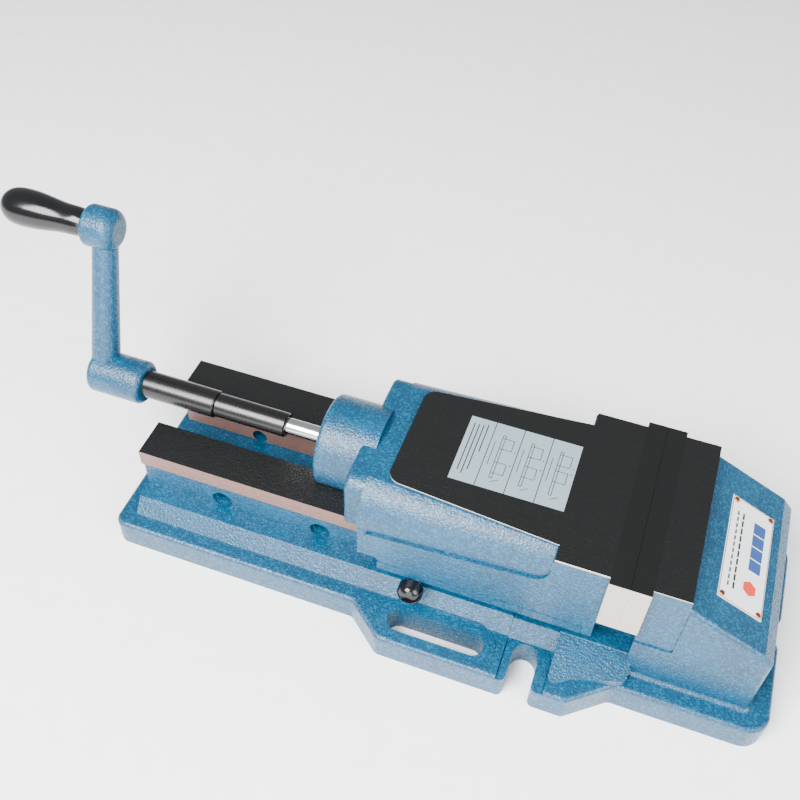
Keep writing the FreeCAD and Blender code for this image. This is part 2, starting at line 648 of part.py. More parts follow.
def nameplate_rivets():
    """Four round-head rivets."""
    thick = NAMEPLATE[2]
    stems = rivet_shapes(-RIVET_LEN, thick, RIVET_R)
    heads = []
    for head in rivet_shapes(thick, thick + RIVET_HEAD, RIVET_HEAD_R):
        top = max(head.Edges, key=lambda e: e.BoundBox.Center.z)
        heads.append(head.makeFillet(RIVET_HEAD_ROUND, [top]))
    return group([a.fuse(b).removeSplitter() for a, b in zip(stems, heads)])


def plate_screw_bore(x, way, side):
    """Tapped hole for a plate screw, into the jaw behind its plate."""
    x0, x1 = sorted((x - way * OVERLAP, x + way * (PLATE_SCREW["shank_l"] - PLATE_SEAT + OVERLAP)))
    return rod(x0, x1, PLATE_SCREW["shank_r"], side * PLATE_SCREW_Y, PLATE_SCREW_Z)


def plate_seats(side):
    """Seats of the two screws in a jaw plate."""
    return [(side * (PLATE_THICK - PLATE_SEAT), s * PLATE_SCREW_Y, PLATE_SCREW_Z) for s in SIDES]


def jaw_plate(side):
    """Hardened jaw plate; side is -1 on the movable jaw and +1 on the fixed one."""
    x0, x1 = sorted((0.0, side * PLATE_THICK))
    plate = box(x0, x1, -JAW_WIDTH / 2, JAW_WIDTH / 2, BED_HEIGHT + 2 * SLIDE, TOP)
    plate = plate.makeChamfer(PLATE_CHAMFER, [e for e in plate.Edges if abs(e.BoundBox.Center.x) < TINY])
    return plate.cut([screw_hole(seat, (-side, 0, 0), **PLATE_SCREW) for seat in plate_seats(side)])


def plate_screws(side):
    """Two socket cap screws that hold a jaw plate."""
    return group([cap_screw(seat, (-side, 0, 0), **PLATE_SCREW) for seat in plate_seats(side)])


# ------------------------------------------------------------------ nut block and locking pin
def nut_block():
    """Anchor block that rides in the channel and carries the nut."""
    x0, x1 = NUT_X
    half = CHANNEL_HALF - GAP
    tongue = box(x0, x1, -half, half, CHANNEL_FLOOR + GAP, BED_HEIGHT + OVERLAP)
    top = CAVITY_TOP - NUT_HEADROOM
    head = box(x0, x1, -NUT_BLOCK_HALF, NUT_BLOCK_HALF, BED_HEIGHT + GAP, top)
    head = head.makeFillet(NUT_BLOCK_ROUND, [e for e in flat_at(head, top) if e.BoundBox.YLength < TINY])
    body = tongue.fuse(head).removeSplitter()
    pin_hole = cross(-PIN_X, PIN_Z, -NUT_BLOCK_HALF - OVERLAP, NUT_BLOCK_HALF + OVERLAP, PIN_R + RUN)
    return body.cut([rod(x0 - OVERLAP, x1 + OVERLAP, NUT_R), pin_hole])


def spindle_nut():
    """Bronze nut pressed into the block, with a flange on its rear face."""
    x0, x1 = NUT_X
    rear = x0 - NUT_FLANGE[0]
    sleeve = rod(x0, x1, NUT_R).fuse(rod(rear, x0, NUT_R + NUT_FLANGE[1])).removeSplitter()
    return sleeve.cut(rod(rear - OVERLAP, x1 + OVERLAP, SCREW_R + 2 * RUN))


def locking_pin():
    """Ground pin across the channel, through the nut block."""
    end = WALL_HALF - PIN_INSET
    pin = cross(-PIN_X, PIN_Z, -PIN_OUTER, end, PIN_R)
    pin = pin.makeChamfer(PIN_CHAMFER, [e for e in pin.Edges if abs(e.BoundBox.YMin - end) < TINY])
    y0, y1 = -DETENT_Y - GROOVE_HALF, -DETENT_Y + GROOVE_HALF
    groove = cross(-PIN_X, PIN_Z, y0, y1, PIN_R + OVERLAP).cut(
        cross(-PIN_X, PIN_Z, y0 - OVERLAP, y1 + OVERLAP, PIN_R - GROOVE_DEEP))
    return pin.cut(groove)


def pin_knob():
    """Domed knob on the outer end of the locking pin."""
    inner = -KEEPER_HALF - KNOB_GAP
    outer = inner - KNOB_LEN
    knob = cross(-PIN_X, PIN_Z, outer, inner, KNOB_R)
    for y, radius in ((outer, KNOB_DOME), (inner, KNOB_NECK)):
        knob = knob.makeFillet(radius, [e for e in knob.Edges if abs(e.BoundBox.YMin - y) < TINY
                                        and abs(e.BoundBox.YMax - y) < TINY])
    return knob.cut(cross(-PIN_X, PIN_Z, -PIN_OUTER, 0, PIN_R))


def detent_ball():
    """Ball that drops into the pin's groove."""
    centre = V(PIN_PLACES[0], -DETENT_Y, PIN_Z + PIN_R - GROOVE_DEEP + DETENT_R)
    ball = Part.makeSphere(DETENT_R - RUN, centre)
    return ball.cut(cross(-PIN_X, PIN_Z, -BIG, 0, PIN_R + RUN))


def coil(x, y, z0, z1, radius, wire_r, turns):
    """Compression spring standing on Z, as a stack of closed rings joined by a post."""
    pitch = (z1 - z0 - 2 * wire_r) / (turns - 1)
    rings = [Part.makeTorus(radius, wire_r, V(x, y, z0 + wire_r + k * pitch)) for k in range(turns)]
    post = pillar(x + radius, y, z0 + wire_r, z1 - wire_r, wire_r * POST_SHARE)
    return rings[0].fuse(rings[1:] + [post])


def detent_spring():
    """Spring that presses the ball down."""
    ball_top = PIN_Z + PIN_R - GROOVE_DEEP + 2 * DETENT_R
    radius = DETENT_R - GAP - DETENT_WIRE
    return coil(PIN_PLACES[0], -DETENT_Y, ball_top, DETENT_TOP, radius, DETENT_WIRE, DETENT_TURNS)


def detent_plug():
    """Grub screw that closes the detent bore under the rail surface."""
    x = PIN_PLACES[0]
    top = BED_HEIGHT - DETENT_SUNK
    plug = pillar(x, -DETENT_Y, DETENT_TOP, top, DETENT_R)
    return plug.cut(screwdriver_slot(x, -DETENT_Y, DETENT_R, top))


def screwdriver_slot(x, y, radius, top):
    """Slot along X across the top of a grub screw."""
    return box(x - radius, x + radius, y - DRIVER_HALF, y + DRIVER_HALF, top - DRIVER_DEEP, top + OVERLAP)


# ------------------------------------------------------------------ movable jaw and rear cover
def shoulder_wire(x, low, pad_half):
    """Section of the jaw body: side wall, bulging shoulder and flat top."""
    start = V(x, SHOULDER_HALF, low)
    share_out, share_up = SHOULDER_BULGE
    middle = V(x, pad_half + (SHOULDER_HALF - pad_half) * share_out, low + (BODY_TOP - low) * share_up)
    side = Part.LineSegment(V(x, SHOULDER_HALF, SKIRT_BOTTOM), start).toShape()
    bulge = Part.Arc(start, middle, V(x, pad_half, BODY_TOP)).toShape()
    flip = FreeCAD.Matrix()
    flip.scale(V(1, -1, 1))
    others = [e.transformGeometry(flip) for e in (side, bulge)]
    top = Part.LineSegment(V(x, pad_half, BODY_TOP), V(x, -pad_half, BODY_TOP)).toShape()
    bottom = Part.LineSegment(V(x, -SHOULDER_HALF, SKIRT_BOTTOM), V(x, SHOULDER_HALF, SKIRT_BOTTOM)).toShape()
    return Part.Wire(Part.__sortEdges__([side, bulge, top, bottom] + others))


def cheeks():
    """Flat cheeks below the shoulder, rounded at the rear and swept up into the wide front part."""
    front = -WIDE_BACK
    slope = (SHOULDER_LOW_FRONT - SHOULDER_LOW_BACK) / (BODY_BACK - WIDE_BACK)
    rear_top = SHOULDER_LOW_BACK + slope * (BODY_BACK - CHEEK_BACK)
    outline = [
        (-CHEEK_BACK, rear_top), (-CHEEK_BACK, SKIRT_BOTTOM + CHEEK_LOW_RUN),
        (-CHEEK_BACK + CHEEK_LOW_RUN, SKIRT_BOTTOM), (front, SKIRT_BOTTOM),
        (front, BODY_TOP), (front - OVERLAP, BODY_TOP), (front - OVERLAP, SHOULDER_LOW_FRONT),
    ]
    plate = prism([(x, -JAW_HALF, z) for x, z in outline], (0, 2 * JAW_HALF, 0))
    across = [e for e in plate.Edges if e.BoundBox.YLength > JAW_HALF]
    rear = [e for e in across if abs(e.BoundBox.Center.x + CHEEK_BACK) < TINY]
    inside = [e for e in across if abs(e.BoundBox.Center.x - front + OVERLAP) < TINY
              and e.BoundBox.Center.z < BODY_TOP - TINY]
    return plate.makeFillet(CHEEK_ROUND, rear).makeFillet(CHEEK_FRONT_ROUND, inside)


def thrust_profile(grow):
    """Turned outline of the thrust pad and of its pocket."""
    x = -CAVITY_FRONT
    flange_r = THRUST_R[0] + grow
    tip = x + THRUST_LEN[1] + grow
    return [(x - THRUST_PROUD, 0.0), (x - THRUST_PROUD, flange_r), (x + THRUST_LEN[0], flange_r),
            (tip, THRUST_R[1]), (tip, 0.0)]


def jaw_pad():
    """Ground pad on top of the jaw body, narrower at the rear."""
    foot = BODY_TOP - PAD_STEM
    front = -WIDE_BACK + 2 * OVERLAP
    near = [(-PAD_BACK, -PAD_HALF_BACK, foot), (front, -PAD_HALF_FRONT, foot)]
    far = [(x, -y, z) for x, y, z in reversed(near)]
    pad = prism(near + far, (0, 0, TOP - foot))
    rear = [e for e in pad.Edges if upright(e) and e.BoundBox.XMin < front - OVERLAP]
    return pad.makeFillet(PAD_CORNER, rear)


def jaw_body():
    """Outer form of the movable jaw."""
    back = shoulder_wire(-BODY_BACK, SHOULDER_LOW_BACK, PAD_HALF_BACK)
    front = shoulder_wire(-WIDE_BACK + OVERLAP, SHOULDER_LOW_FRONT, PAD_HALF_FRONT)
    body = Part.makeLoft([back, front], True, True)
    wide = box(-WIDE_BACK, -PLATE_THICK, -JAW_HALF, JAW_HALF, WIDE_BOTTOM, TOP)
    wide = wide.makeFillet(TOP_EDGE, [e for e in flat_at(wide, TOP) if e.BoundBox.YLength < TINY])
    return body.fuse([wide, cheeks(), jaw_pad()])


def movable_jaw():
    """Hollow jaw body that rides on the rails, with a wide front part behind its plate."""
    inner = RAIL_HALF + GAP
    rear = -BODY_BACK - OVERLAP
    cuts = [box(rear, 0, -inner, inner, 0, BED_HEIGHT + SLIDE)]
    cuts.append(box(rear, -CAVITY_FRONT, -CAVITY_HALF, CAVITY_HALF, 0, CAVITY_TOP))
    cuts.append(turned(thrust_profile(RUN)))
    for s in SIDES:
        cuts.append(plate_screw_bore(-PLATE_THICK, -1, s))
        for y, z in COVER_SCREW_YZ:
            depth = COVER_SCREW["shank_l"] - COVER_THICK + COVER_SCREW["head_h"] + COVER_SCREW_SUNK
            cuts.append(rod(rear, -BODY_BACK + depth + OVERLAP, COVER_SCREW["shank_r"], s * y, z))
        for x in KEEPER_SCREW_X:
            top = KEEPER_SEAT + KEEPER_SCREW["shank_l"] + OVERLAP
            cuts.append(pillar(x, s * KEEPER_SCREW_Y, SKIRT_BOTTOM - OVERLAP, top, KEEPER_SCREW["shank_r"]))
    # the wide front part stands clear of the keepers' ends
    cuts.append(box(-WIDE_BACK - BIG / 2, -KEEPER_FRONT + GAP, -KEEPER_HALF - OVERLAP, KEEPER_HALF + OVERLAP,
                    0, SKIRT_BOTTOM))
    return jaw_body().cut(cuts).removeSplitter()


def keeper(side):
    """Keeper strip under one side of the jaw, hooked below the rail lip."""
    x0, x1 = -KEEPER_BACK, -KEEPER_FRONT
    inner = WALL_HALF + GAP
    y0, y1 = sorted((side * inner, side * KEEPER_HALF))
    strip = box(x0, x1, y0, y1, KEEPER_BOTTOM, SKIRT_BOTTOM)
    y0, y1 = sorted((side * inner, side * RAIL_HALF))
    hook = box(x0, x1, y0, y1, SKIRT_BOTTOM - OVERLAP, RAIL_UNDER - KEEPER_GAP)
    body = strip.fuse(hook).removeSplitter()
    low = [e for e in flat_at(body, KEEPER_BOTTOM) if abs(e.BoundBox.Center.y - side * KEEPER_HALF) < TINY]
    body = body.makeFillet(KEEPER_EDGE, low)
    return body.cut([screw_hole(seat, (0, 0, -1), **KEEPER_SCREW) for seat in keeper_seats(side)])


def keeper_seats(side):
    """Seats of the screws in one keeper."""
    return [(x, side * KEEPER_SCREW_Y, KEEPER_SEAT) for x in KEEPER_SCREW_X]


def keeper_screws():
    """Socket cap screws that hold both keepers, driven up from below."""
    seats = keeper_seats(-1) + keeper_seats(1)
    return group([cap_screw(seat, (0, 0, -1), **KEEPER_SCREW) for seat in seats])


def rear_cover():
    """Cover on the back of the jaw, with the round nose that carries the screw's bearing."""
    back = -BODY_BACK - COVER_THICK
    tongue = CHANNEL_HALF - GAP
    plate = box(back, -BODY_BACK, -COVER_HALF, COVER_HALF, COVER_FLOOR, COVER_TOP)
    upper = [e for e in flat_at(plate, COVER_TOP) if e.BoundBox.YLength < TINY]
    plate = plate.makeFillet(COVER_CORNER, upper)
    rim = [e for e in plate.Edges if abs(e.BoundBox.XMin - back) < TINY and e.BoundBox.XLength < TINY]
    plate = plate.makeFillet(COVER_ROUND, rim)
    nose = rod(-NOSE_END, -BODY_BACK - COVER_ROUND, NOSE_R)
    nose = nose.makeFillet(NOSE_ROUND, [e for e in nose.Edges if abs(e.BoundBox.XMax + NOSE_END) < TINY])
    low = AXIS_Z - NOSE_R + NOSE_ROUND
    web = box(back + COVER_ROUND, -BODY_BACK, -tongue, tongue, low, COVER_FLOOR + COVER_ROUND)
    body = plate.fuse([nose, web]).removeSplitter()
    cuts = [box(-NOSE_END - OVERLAP, 0, *sorted((s * tongue, s * BIG)), 0, COVER_FLOOR) for s in SIDES]
    cuts.append(rod(-BEARING_X, -BODY_BACK + OVERLAP, BEARING_R + RUN))
    cuts.append(rod(-BUSH_END, -BEARING_X, BUSH_R))
    cuts.append(rod(-NOSE_END - OVERLAP, -BUSH_END, CAP_R))
    cuts += [screw_hole(seat, (-1, 0, 0), **COVER_SCREW) for seat in cover_seats()]
    return body.cut(cuts)


def cover_seats():
    """Seats of the four screws in the rear cover."""
    x = -BODY_BACK - COVER_THICK + COVER_SCREW["head_h"] + COVER_SCREW_SUNK
    return [(x, s * y, z) for s in SIDES for y, z in COVER_SCREW_YZ]


def cover_screws():
    """Four socket cap screws in the cover's rear face."""
    return group([cap_screw(seat, (-1, 0, 0), **COVER_SCREW) for seat in cover_seats()])


def nose_cap():
    """Cap that closes the nose behind the screw's locknut."""
    x0 = -NOSE_END + CAP_INSET
    return tube(x0, x0 + CAP_THICK, CAP_R, ROD_R + WIPER_WALL)


def rod_wiper():
    """Wiper ring between the cap and the drive rod."""
    x0 = -NOSE_END + CAP_INSET
    return tube(x0 + WIPER_SUNK, x0 + CAP_THICK, ROD_R + WIPER_WALL, ROD_R + RUN)


def screw_bush():
    """Bronze bush that carries the screw's journal in the nose."""
    return tube(-BUSH_END, -BEARING_X, BUSH_R, JOURNAL_R + RUN)


def thrust_bearing():
    """Ball thrust bearing between the screw's collar and the cover."""
    middle = (BEARING_X + BODY_BACK) / 2
    bore = JOURNAL_R + 2 * RUN
    rear = tube(-BEARING_X, -BEARING_X + WASHER_THICK, BEARING_R, bore)
    front = tube(-BODY_BACK - WASHER_THICK, -BODY_BACK, BEARING_R, bore)
    ring_r = (BEARING_R + JOURNAL_R) / 2
    balls = []
    for k in range(BALL_COUNT):
        angle = 2 * math.pi * (k + 0.5) / BALL_COUNT
        centre = V(-middle, ring_r * math.cos(angle), AXIS_Z + ring_r * math.sin(angle))
        balls.append(Part.makeSphere(BALL_R, centre))
    cage = tube(-middle - CAGE_HALF, -middle + CAGE_HALF, BEARING_R - CAGE_MARGIN, JOURNAL_R + CAGE_MARGIN)
    return rear.fuse([front, cage.cut(balls)] + balls)


def thrust_pad():
    """Hardened pad in the jaw's front wall that takes the ram's push."""
    return turned(thrust_profile(0.0))


def instruction_label():
    """Thin label on the ground top of the movable jaw."""
    length, width, thick = LABEL
    x0 = -PAD_BACK + LABEL_BACK
    return box(x0, x0 + length, -width / 2 + LABEL_SHIFT, width / 2 + LABEL_SHIFT, TOP, TOP + thick)


# ------------------------------------------------------------------ screw and hydraulic booster
def lead_screw():
    """Hollow screw that also holds the booster's oil cylinder."""
    body = rod(-BODY_BACK + GAP, -SCREW_FRONT, SCREW_R)
    collar = rod(-BODY_BACK, -BODY_BACK + COLLAR_LEN, COLLAR_R)
    journal = rod(-JOURNAL_END, -BODY_BACK + OVERLAP, JOURNAL_R)
    body = body.fuse([collar, journal]).removeSplitter()
    return body.cut([
        rod(-OIL_BACK, -SCREW_FRONT + OVERLAP, OIL_BORE_R),
        rod(-PLUNGER_BACK, -OIL_BACK + OVERLAP, PLUNGER_R),
        rod(-JOURNAL_END - OVERLAP, -PLUNGER_BACK, ROD_R + RUN),
        pillar(-OIL_BACK + FILL_BACK, 0, AXIS_Z, AXIS_Z + SCREW_R + OVERLAP, FILL_R),
    ])


def screw_locknut():
    """Ring nut that holds the screw's journal behind the bush."""
    return tube(-JOURNAL_END, -BUSH_END - NUT_GAP, NUT_RING_R, JOURNAL_R)


def oil_plug():
    """Grub screw that closes the oil filling hole."""
    x = -OIL_BACK + FILL_BACK
    top = AXIS_Z + SCREW_R - FILL_SUNK
    plug = pillar(x, 0, AXIS_Z + OIL_BORE_R, top, FILL_R)
    return plug.cut(screwdriver_slot(x, 0, FILL_R, top))


def ram_gland():
    """Ring screwed into the front of the screw to keep the ram in."""
    return tube(-GLAND_BACK, -SCREW_FRONT, OIL_BORE_R, RAM_NOSE_R + RUN)


def ram_springs():
    """Pack of disc springs that pushes the ram back."""
    inner = RAM_NOSE_R + GAP
    outer = OIL_BORE_R - GAP
    discs = []
    for k in range(DISC_COUNT):
        x = -GLAND_BACK - DISC_PITCH * (k + 1)
        middle = x + DISC_RISE
        discs.append(turned([(x, inner), (middle, outer), (middle + DISC_RISE, outer), (middle, inner)]))
    return group(discs)


def seal_groove(x, gap_r, seal):
    """Ring from a seal's bottom out to the radius gap_r, starting at x."""
    start, length, depth = seal
    return tube(x + start, x + start + length, gap_r, gap_r - depth)


def ram():
    """Ram that multiplies the plunger's push."""
    piston = rod(-RAM_BACK, -RAM_STEP, OIL_BORE_R - RUN)
    nose = rod(-RAM_STEP, -CAVITY_FRONT - RAM_REACH, RAM_NOSE_R)
    return piston.fuse(nose).removeSplitter().cut(seal_groove(-RAM_BACK, OIL_BORE_R, RAM_SEAL))


def ram_seal():
    """Seal ring in the ram's groove."""
    return seal_groove(-RAM_BACK, OIL_BORE_R, RAM_SEAL).common(rod(-RAM_BACK, -RAM_STEP, OIL_BORE_R - RUN))


def plunger():
    """Small plunger that the drive rod screws into the oil."""
    body = rod(-PLUNGER_BACK, -PLUNGER_BACK + PLUNGER_LEN, PLUNGER_R - RUN)
    return body.cut(seal_groove(-PLUNGER_BACK, PLUNGER_R, PLUNGER_SEAL))


def plunger_seal():
    """Seal ring in the plunger's groove."""
    body = rod(-PLUNGER_BACK, -PLUNGER_BACK + PLUNGER_LEN, PLUNGER_R - RUN)
    return seal_groove(-PLUNGER_BACK, PLUNGER_R, PLUNGER_SEAL).common(body)


# ------------------------------------------------------------------ drive rod, clutch sleeve and crank
def round_edges(shape, size):
    """Chamfer the flat circular edges of a turned piece."""
    return shape.makeChamfer(size, [e for e in shape.Edges if e.BoundBox.XLength < TINY])


def coupling_pin_holes():
    """Cross holes of the two coupling pins."""
    reach = SLEEVE_R + OVERLAP
    return [pillar(-x, 0, AXIS_Z - reach, AXIS_Z + reach, COUPLING_PIN_R) for x in COUPLING_PIN_X]


def drive_rod():
    """Bright rod from the clutch sleeve into the screw."""
    return rod(-ROD_BACK, -PLUNGER_BACK, ROD_R).cut(coupling_pin_holes())


def clutch_sleeve():
    """Black sleeve that joins the rod to the crank shaft."""
    body = round_edges(rod(-SLEEVE_BACK, -SLEEVE_FRONT, SLEEVE_R), SHAFT_CHAMFER)
    return body.cut([rod(-SLEEVE_BACK - OVERLAP, -SLEEVE_FRONT + OVERLAP, ROD_R)] + coupling_pin_holes())


def coupling_pins():
    """Two cross pins flush with the sleeve."""
    length = SLEEVE_R - PIN_FLUSH
    return group([pillar(-x, 0, AXIS_Z - length, AXIS_Z + length, COUPLING_PIN_R) for x in COUPLING_PIN_X])


def clutch_spring():
    """Spring between the rod and the shaft inside the sleeve."""
    standing = coil(0, 0, ROD_BACK, SPIGOT_FRONT, *CLUTCH_COIL)
    standing.rotate(V(0, 0, 0), V(0, 1, 0), -90)
    standing.translate(V(0, 0, AXIS_Z))
    return standing


def drive_shaft():
    """Black shaft that carries the crank."""
    body = round_edges(rod(-SHAFT_END, -SLEEVE_BACK, SHAFT_R), SHAFT_CHAMFER)
    spigot = rod(-SLEEVE_BACK - 2 * OVERLAP, -SPIGOT_FRONT, ROD_R)
    return body.fuse(spigot).removeSplitter().cut(coupling_pin_holes())


def tilted(shape):
    """Turn a piece from upright to the crank's resting angle."""
    made = shape.copy()
    made.rotate(V(0, 0, AXIS_Z), V(1, 0, 0), -CRANK_TILT)
    return made


def crank_hub():
    """Rounded barrel at the crank's shaft."""
    hub = rod(-SHAFT_END - HUB_CAP, -HUB_FRONT, HUB_R)
    return hub.makeFillet(HUB_ROUND, [e for e in hub.Edges if e.BoundBox.XLength < TINY])


def crank_boss():
    """Boss at the arm's outer end: full round in front, flat behind for the grip's washer."""
    boss = rod(-BOSS_BACK, -BOSS_FRONT, BOSS_R, 0, CRANK_TOP)
    for x, radius in ((-BOSS_FRONT, BOSS_ROUND[1]), (-BOSS_BACK, BOSS_ROUND[0])):
        boss = boss.makeFillet(radius, [e for e in boss.Edges if abs(e.BoundBox.XMin - x) < TINY
                                        and e.BoundBox.XLength < TINY])
    return boss


def crank_arm():
    """Cast crank: hub, tapering arm and boss."""
    arm = Part.makeCone(ARM_R + ARM_TAPER, ARM_R, CRANK_LENGTH, V(-CRANK_X, 0, AXIS_Z), V(0, 0, 1))
    body = crank_hub().fuse([arm, crank_boss()]).removeSplitter()
    return tilted(body.cut([
        rod(-SHAFT_END, -HUB_FRONT + OVERLAP, SHAFT_R),
        rod(-BOSS_BACK - OVERLAP, BOLT_X[1], GRIP_BOLT_R, 0, CRANK_TOP),
        pillar(-SET_SCREW_X, 0, AXIS_Z - HUB_R - OVERLAP, AXIS_Z - SHAFT_R + OVERLAP, SET_SCREW_R),
    ]))


def crank_set_screw():
    """Grub screw that fixes the crank to its shaft."""
    low = AXIS_Z - HUB_R + SET_SCREW_SUNK
    screw = pillar(-SET_SCREW_X, 0, low, AXIS_Z - SHAFT_R, SET_SCREW_R)
    return tilted(screw.cut(pillar(-SET_SCREW_X, 0, low - OVERLAP, low + SET_SCREW_R, SET_SCREW_R / 2)))


def grip_bolt():
    """Shoulder bolt that the grip turns on."""
    return tilted(rod(*BOLT_X, GRIP_BOLT_R, 0, CRANK_TOP))


def grip_washer():
    """Washer between the boss and the grip."""
    return tilted(tube(-BOSS_BACK - GRIP_GAP, -BOSS_BACK, WASHER_R, GRIP_BOLT_R, 0, CRANK_TOP))


def crank_grip():
    """Turning bulb grip."""
    x1 = -BOSS_BACK - GRIP_GAP - GAP
    x0 = x1 - GRIP_LEN
    curve = Part.BSplineCurve()
    curve.interpolate([V(x0 + GRIP_LEN * along, 0, CRANK_TOP + GRIP_R * out) for along, out in GRIP_CURVE])
    first = curve.value(curve.FirstParameter)
    last = curve.value(curve.LastParameter)
    down = Part.LineSegment(last, V(x1, 0, CRANK_TOP)).toShape()
    back = Part.LineSegment(V(x1, 0, CRANK_TOP), first).toShape()
    face = Part.Face(Part.Wire([curve.toShape(), down, back]))
    body = face.revolve(V(0, 0, CRANK_TOP), V(1, 0, 0), 360)
    return tilted(body.cut(rod(BOLT_X[0] - OVERLAP, -BOSS_BACK, GRIP_BOLT_R + RUN, 0, CRANK_TOP)))


# ------------------------------------------------------------------ write every piece
PIECES = {
    "base_casting": base_casting,
    "fixed_jaw_plate": lambda: jaw_plate(1),
    "fixed_plate_screws": lambda: plate_screws(1),
    "nameplate": nameplate,
    "nameplate_rivets": nameplate_rivets,
    "nut_block": nut_block,
    "spindle_nut": spindle_nut,
    "locking_pin": locking_pin,
    "pin_knob": pin_knob,
    "detent_ball": detent_ball,
    "detent_spring": detent_spring,
    "detent_plug": detent_plug,
    "movable_jaw": movable_jaw,
    "movable_jaw_plate": lambda: jaw_plate(-1),
    "movable_plate_screws": lambda: plate_screws(-1),
    "keeper_near": lambda: keeper(-1),
    "keeper_far": lambda: keeper(1),
    "keeper_screws": keeper_screws,
    "rear_cover": rear_cover,
    "cover_screws": cover_screws,
    "nose_cap": nose_cap,
    "rod_wiper": rod_wiper,
    "screw_bush": screw_bush,
    "thrust_bearing": thrust_bearing,
    "thrust_pad": thrust_pad,
    "instruction_label": instruction_label,
    "lead_screw": lead_screw,
    "screw_locknut": screw_locknut,
    "oil_plug": oil_plug,
    "ram_gland": ram_gland,
    "ram_springs": ram_springs,
    "ram": ram,
    "ram_seal": ram_seal,
    "plunger": plunger,
    "plunger_seal": plunger_seal,
    "drive_rod": drive_rod,
    "clutch_sleeve": clutch_sleeve,
    "coupling_pins": coupling_pins,
    "clutch_spring": clutch_spring,
    "drive_shaft": drive_shaft,
    "crank_arm": crank_arm,
    "crank_set_screw": crank_set_screw,
    "grip_bolt": grip_bolt,
    "grip_washer": grip_washer,
    "crank_grip": crank_grip,
}

os.makedirs("parts", exist_ok=True)
for name, make in PIECES.items():
    shape = make()
    shape.exportStep("parts/" + name + ".step")
    print(name, "solids", len(shape.Solids), "volume", round(shape.Volume), "valid", shape.isValid())
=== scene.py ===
"""Looks of a machine vise: enamel, ground and blued steel, plates and prints, around its CAD frame."""
import math

import bpy
from bpy.props import FloatProperty, FloatVectorProperty, PointerProperty
from mathutils import Matrix, Vector


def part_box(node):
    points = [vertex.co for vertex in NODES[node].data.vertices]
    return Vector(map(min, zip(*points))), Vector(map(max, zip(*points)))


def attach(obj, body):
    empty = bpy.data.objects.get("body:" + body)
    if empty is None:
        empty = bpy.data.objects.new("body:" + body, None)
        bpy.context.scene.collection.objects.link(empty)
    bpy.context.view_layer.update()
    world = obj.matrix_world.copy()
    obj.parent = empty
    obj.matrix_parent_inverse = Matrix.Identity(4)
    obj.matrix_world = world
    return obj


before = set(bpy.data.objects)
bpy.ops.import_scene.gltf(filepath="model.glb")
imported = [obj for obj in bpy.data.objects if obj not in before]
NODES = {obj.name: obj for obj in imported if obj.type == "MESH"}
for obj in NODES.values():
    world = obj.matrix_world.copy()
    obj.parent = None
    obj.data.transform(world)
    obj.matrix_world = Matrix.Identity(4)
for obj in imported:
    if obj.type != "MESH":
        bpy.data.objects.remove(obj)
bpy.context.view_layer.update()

bl_info = {
    "name": "Machine Vise",
    "version": (1, 0, 0),
    "blender": (4, 5, 0),
    "location": "View3D > Sidebar > Vise",
    "description": "Finishes a machine vise and its small printed and machined details",
    "category": "Object",
}

MM = 0.001


def colour(code):
    """Linear red, green and blue of an sRGB hex colour."""
    parts = [int(code[k:k + 2], 16) / 255 for k in (1, 3, 5)]
    return tuple(c / 12.92 if c <= 0.04045 else ((c + 0.055) / 1.055) ** 2.4 for c in parts)


# ------------------------------------------------------------------ sizes of the CAD pieces
PLATE_LOW, PLATE_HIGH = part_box("fixed_jaw_plate")
JAW_TOP = PLATE_HIGH.z
BED_GAP = 0.08 * MM      # the plates end this far above the rails
RAIL_TOP = PLATE_LOW.z - BED_GAP
RAIL_HALF = 57 * MM      # half the width over both rails
RAIL_LIP = 16 * MM       # how far down the sides of the rails are milled
CHANNEL_HALF = 22 * MM   # half the width of the channel between the rails
PLATE_RATIO = 40 / 95.5  # length of the nameplate down the slope, as a share of its width

# ------------------------------------------------------------------ sizes of the finishes
FACE_BAND = 0.3 * MM     # how near a point is to a ground plane to count as lying on it
HIGHLIGHT_EDGE_BAND = 0.9 * MM     # height of the painted highlight, on partly bare steel, along the sides of the jaws' tops
MARK_DEPTH = 0.01 * MM   # depth of tool marks on turned and milled metal
SQUARE_ON = 0.95         # a face whose normal has this much along an axis is square to it
LEANING = 0.97           # an edge whose normal has less than this upwards isn't part of the flat top
LAMP_AIM = (-0.15, 0, 0.08)  # the place that the lamps point at, in metres


# ------------------------------------------------------------------ settings a user may change
def tint(label, about, code):
    """Colour property with its hex default."""
    return FloatVectorProperty(name=label, description=about, subtype="COLOR", size=3, min=0, max=1,
                               default=colour(code))


def length(label, about, metres):
    """Length property."""
    return FloatProperty(name=label, description=about, unit="LENGTH", default=metres, min=0)


class ViseEnamel(bpy.types.PropertyGroup):
    """Hammer-finish enamel on the castings."""
    base: tint("Enamel", "Colour of the enamel", "#003C59")
    deep: tint("Enamel in dimples", "Colour where the enamel lies thick", "#00304A")
    flake: tint("Flake", "Colour of the metal flakes in the enamel", "#1B86AE")
    grain: length("Dimple spacing", "Distance between the dimples", 1.7 * MM)
    depth: length("Dimple depth", "Height of the dimples", 0.7 * MM)


class ViseMetal(bpy.types.PropertyGroup):
    """Bare and blued metals."""
    # near-black ground top: a painted reflection of a dark room; the ground steel itself is grey
    ground: tint("Ground top", "Oiled, ground tops of the bed and jaws", "#040505")
    # brownish rail side: a painted reflection of a brown floor in the milled steel
    rail_side: tint("Rail side", "Milled sides of the rails", "#6B4F47")
    plate: tint("Jaw plate", "Ground ends of the jaw plates", "#B9AEA8")
    bright: tint("Bright steel", "Turned drive rod and pins", "#C9CACB")
    black: tint("Blued steel", "Crank shaft, sleeve and screws", "#0B0A0B")
    bronze: tint("Bronze", "Nut and bush", "#A47A3C")
    copper: tint("Copper", "Nameplate rivets", "#B4663F")
    spring: tint("Spring steel", "Spring wire", "#7D7F83")


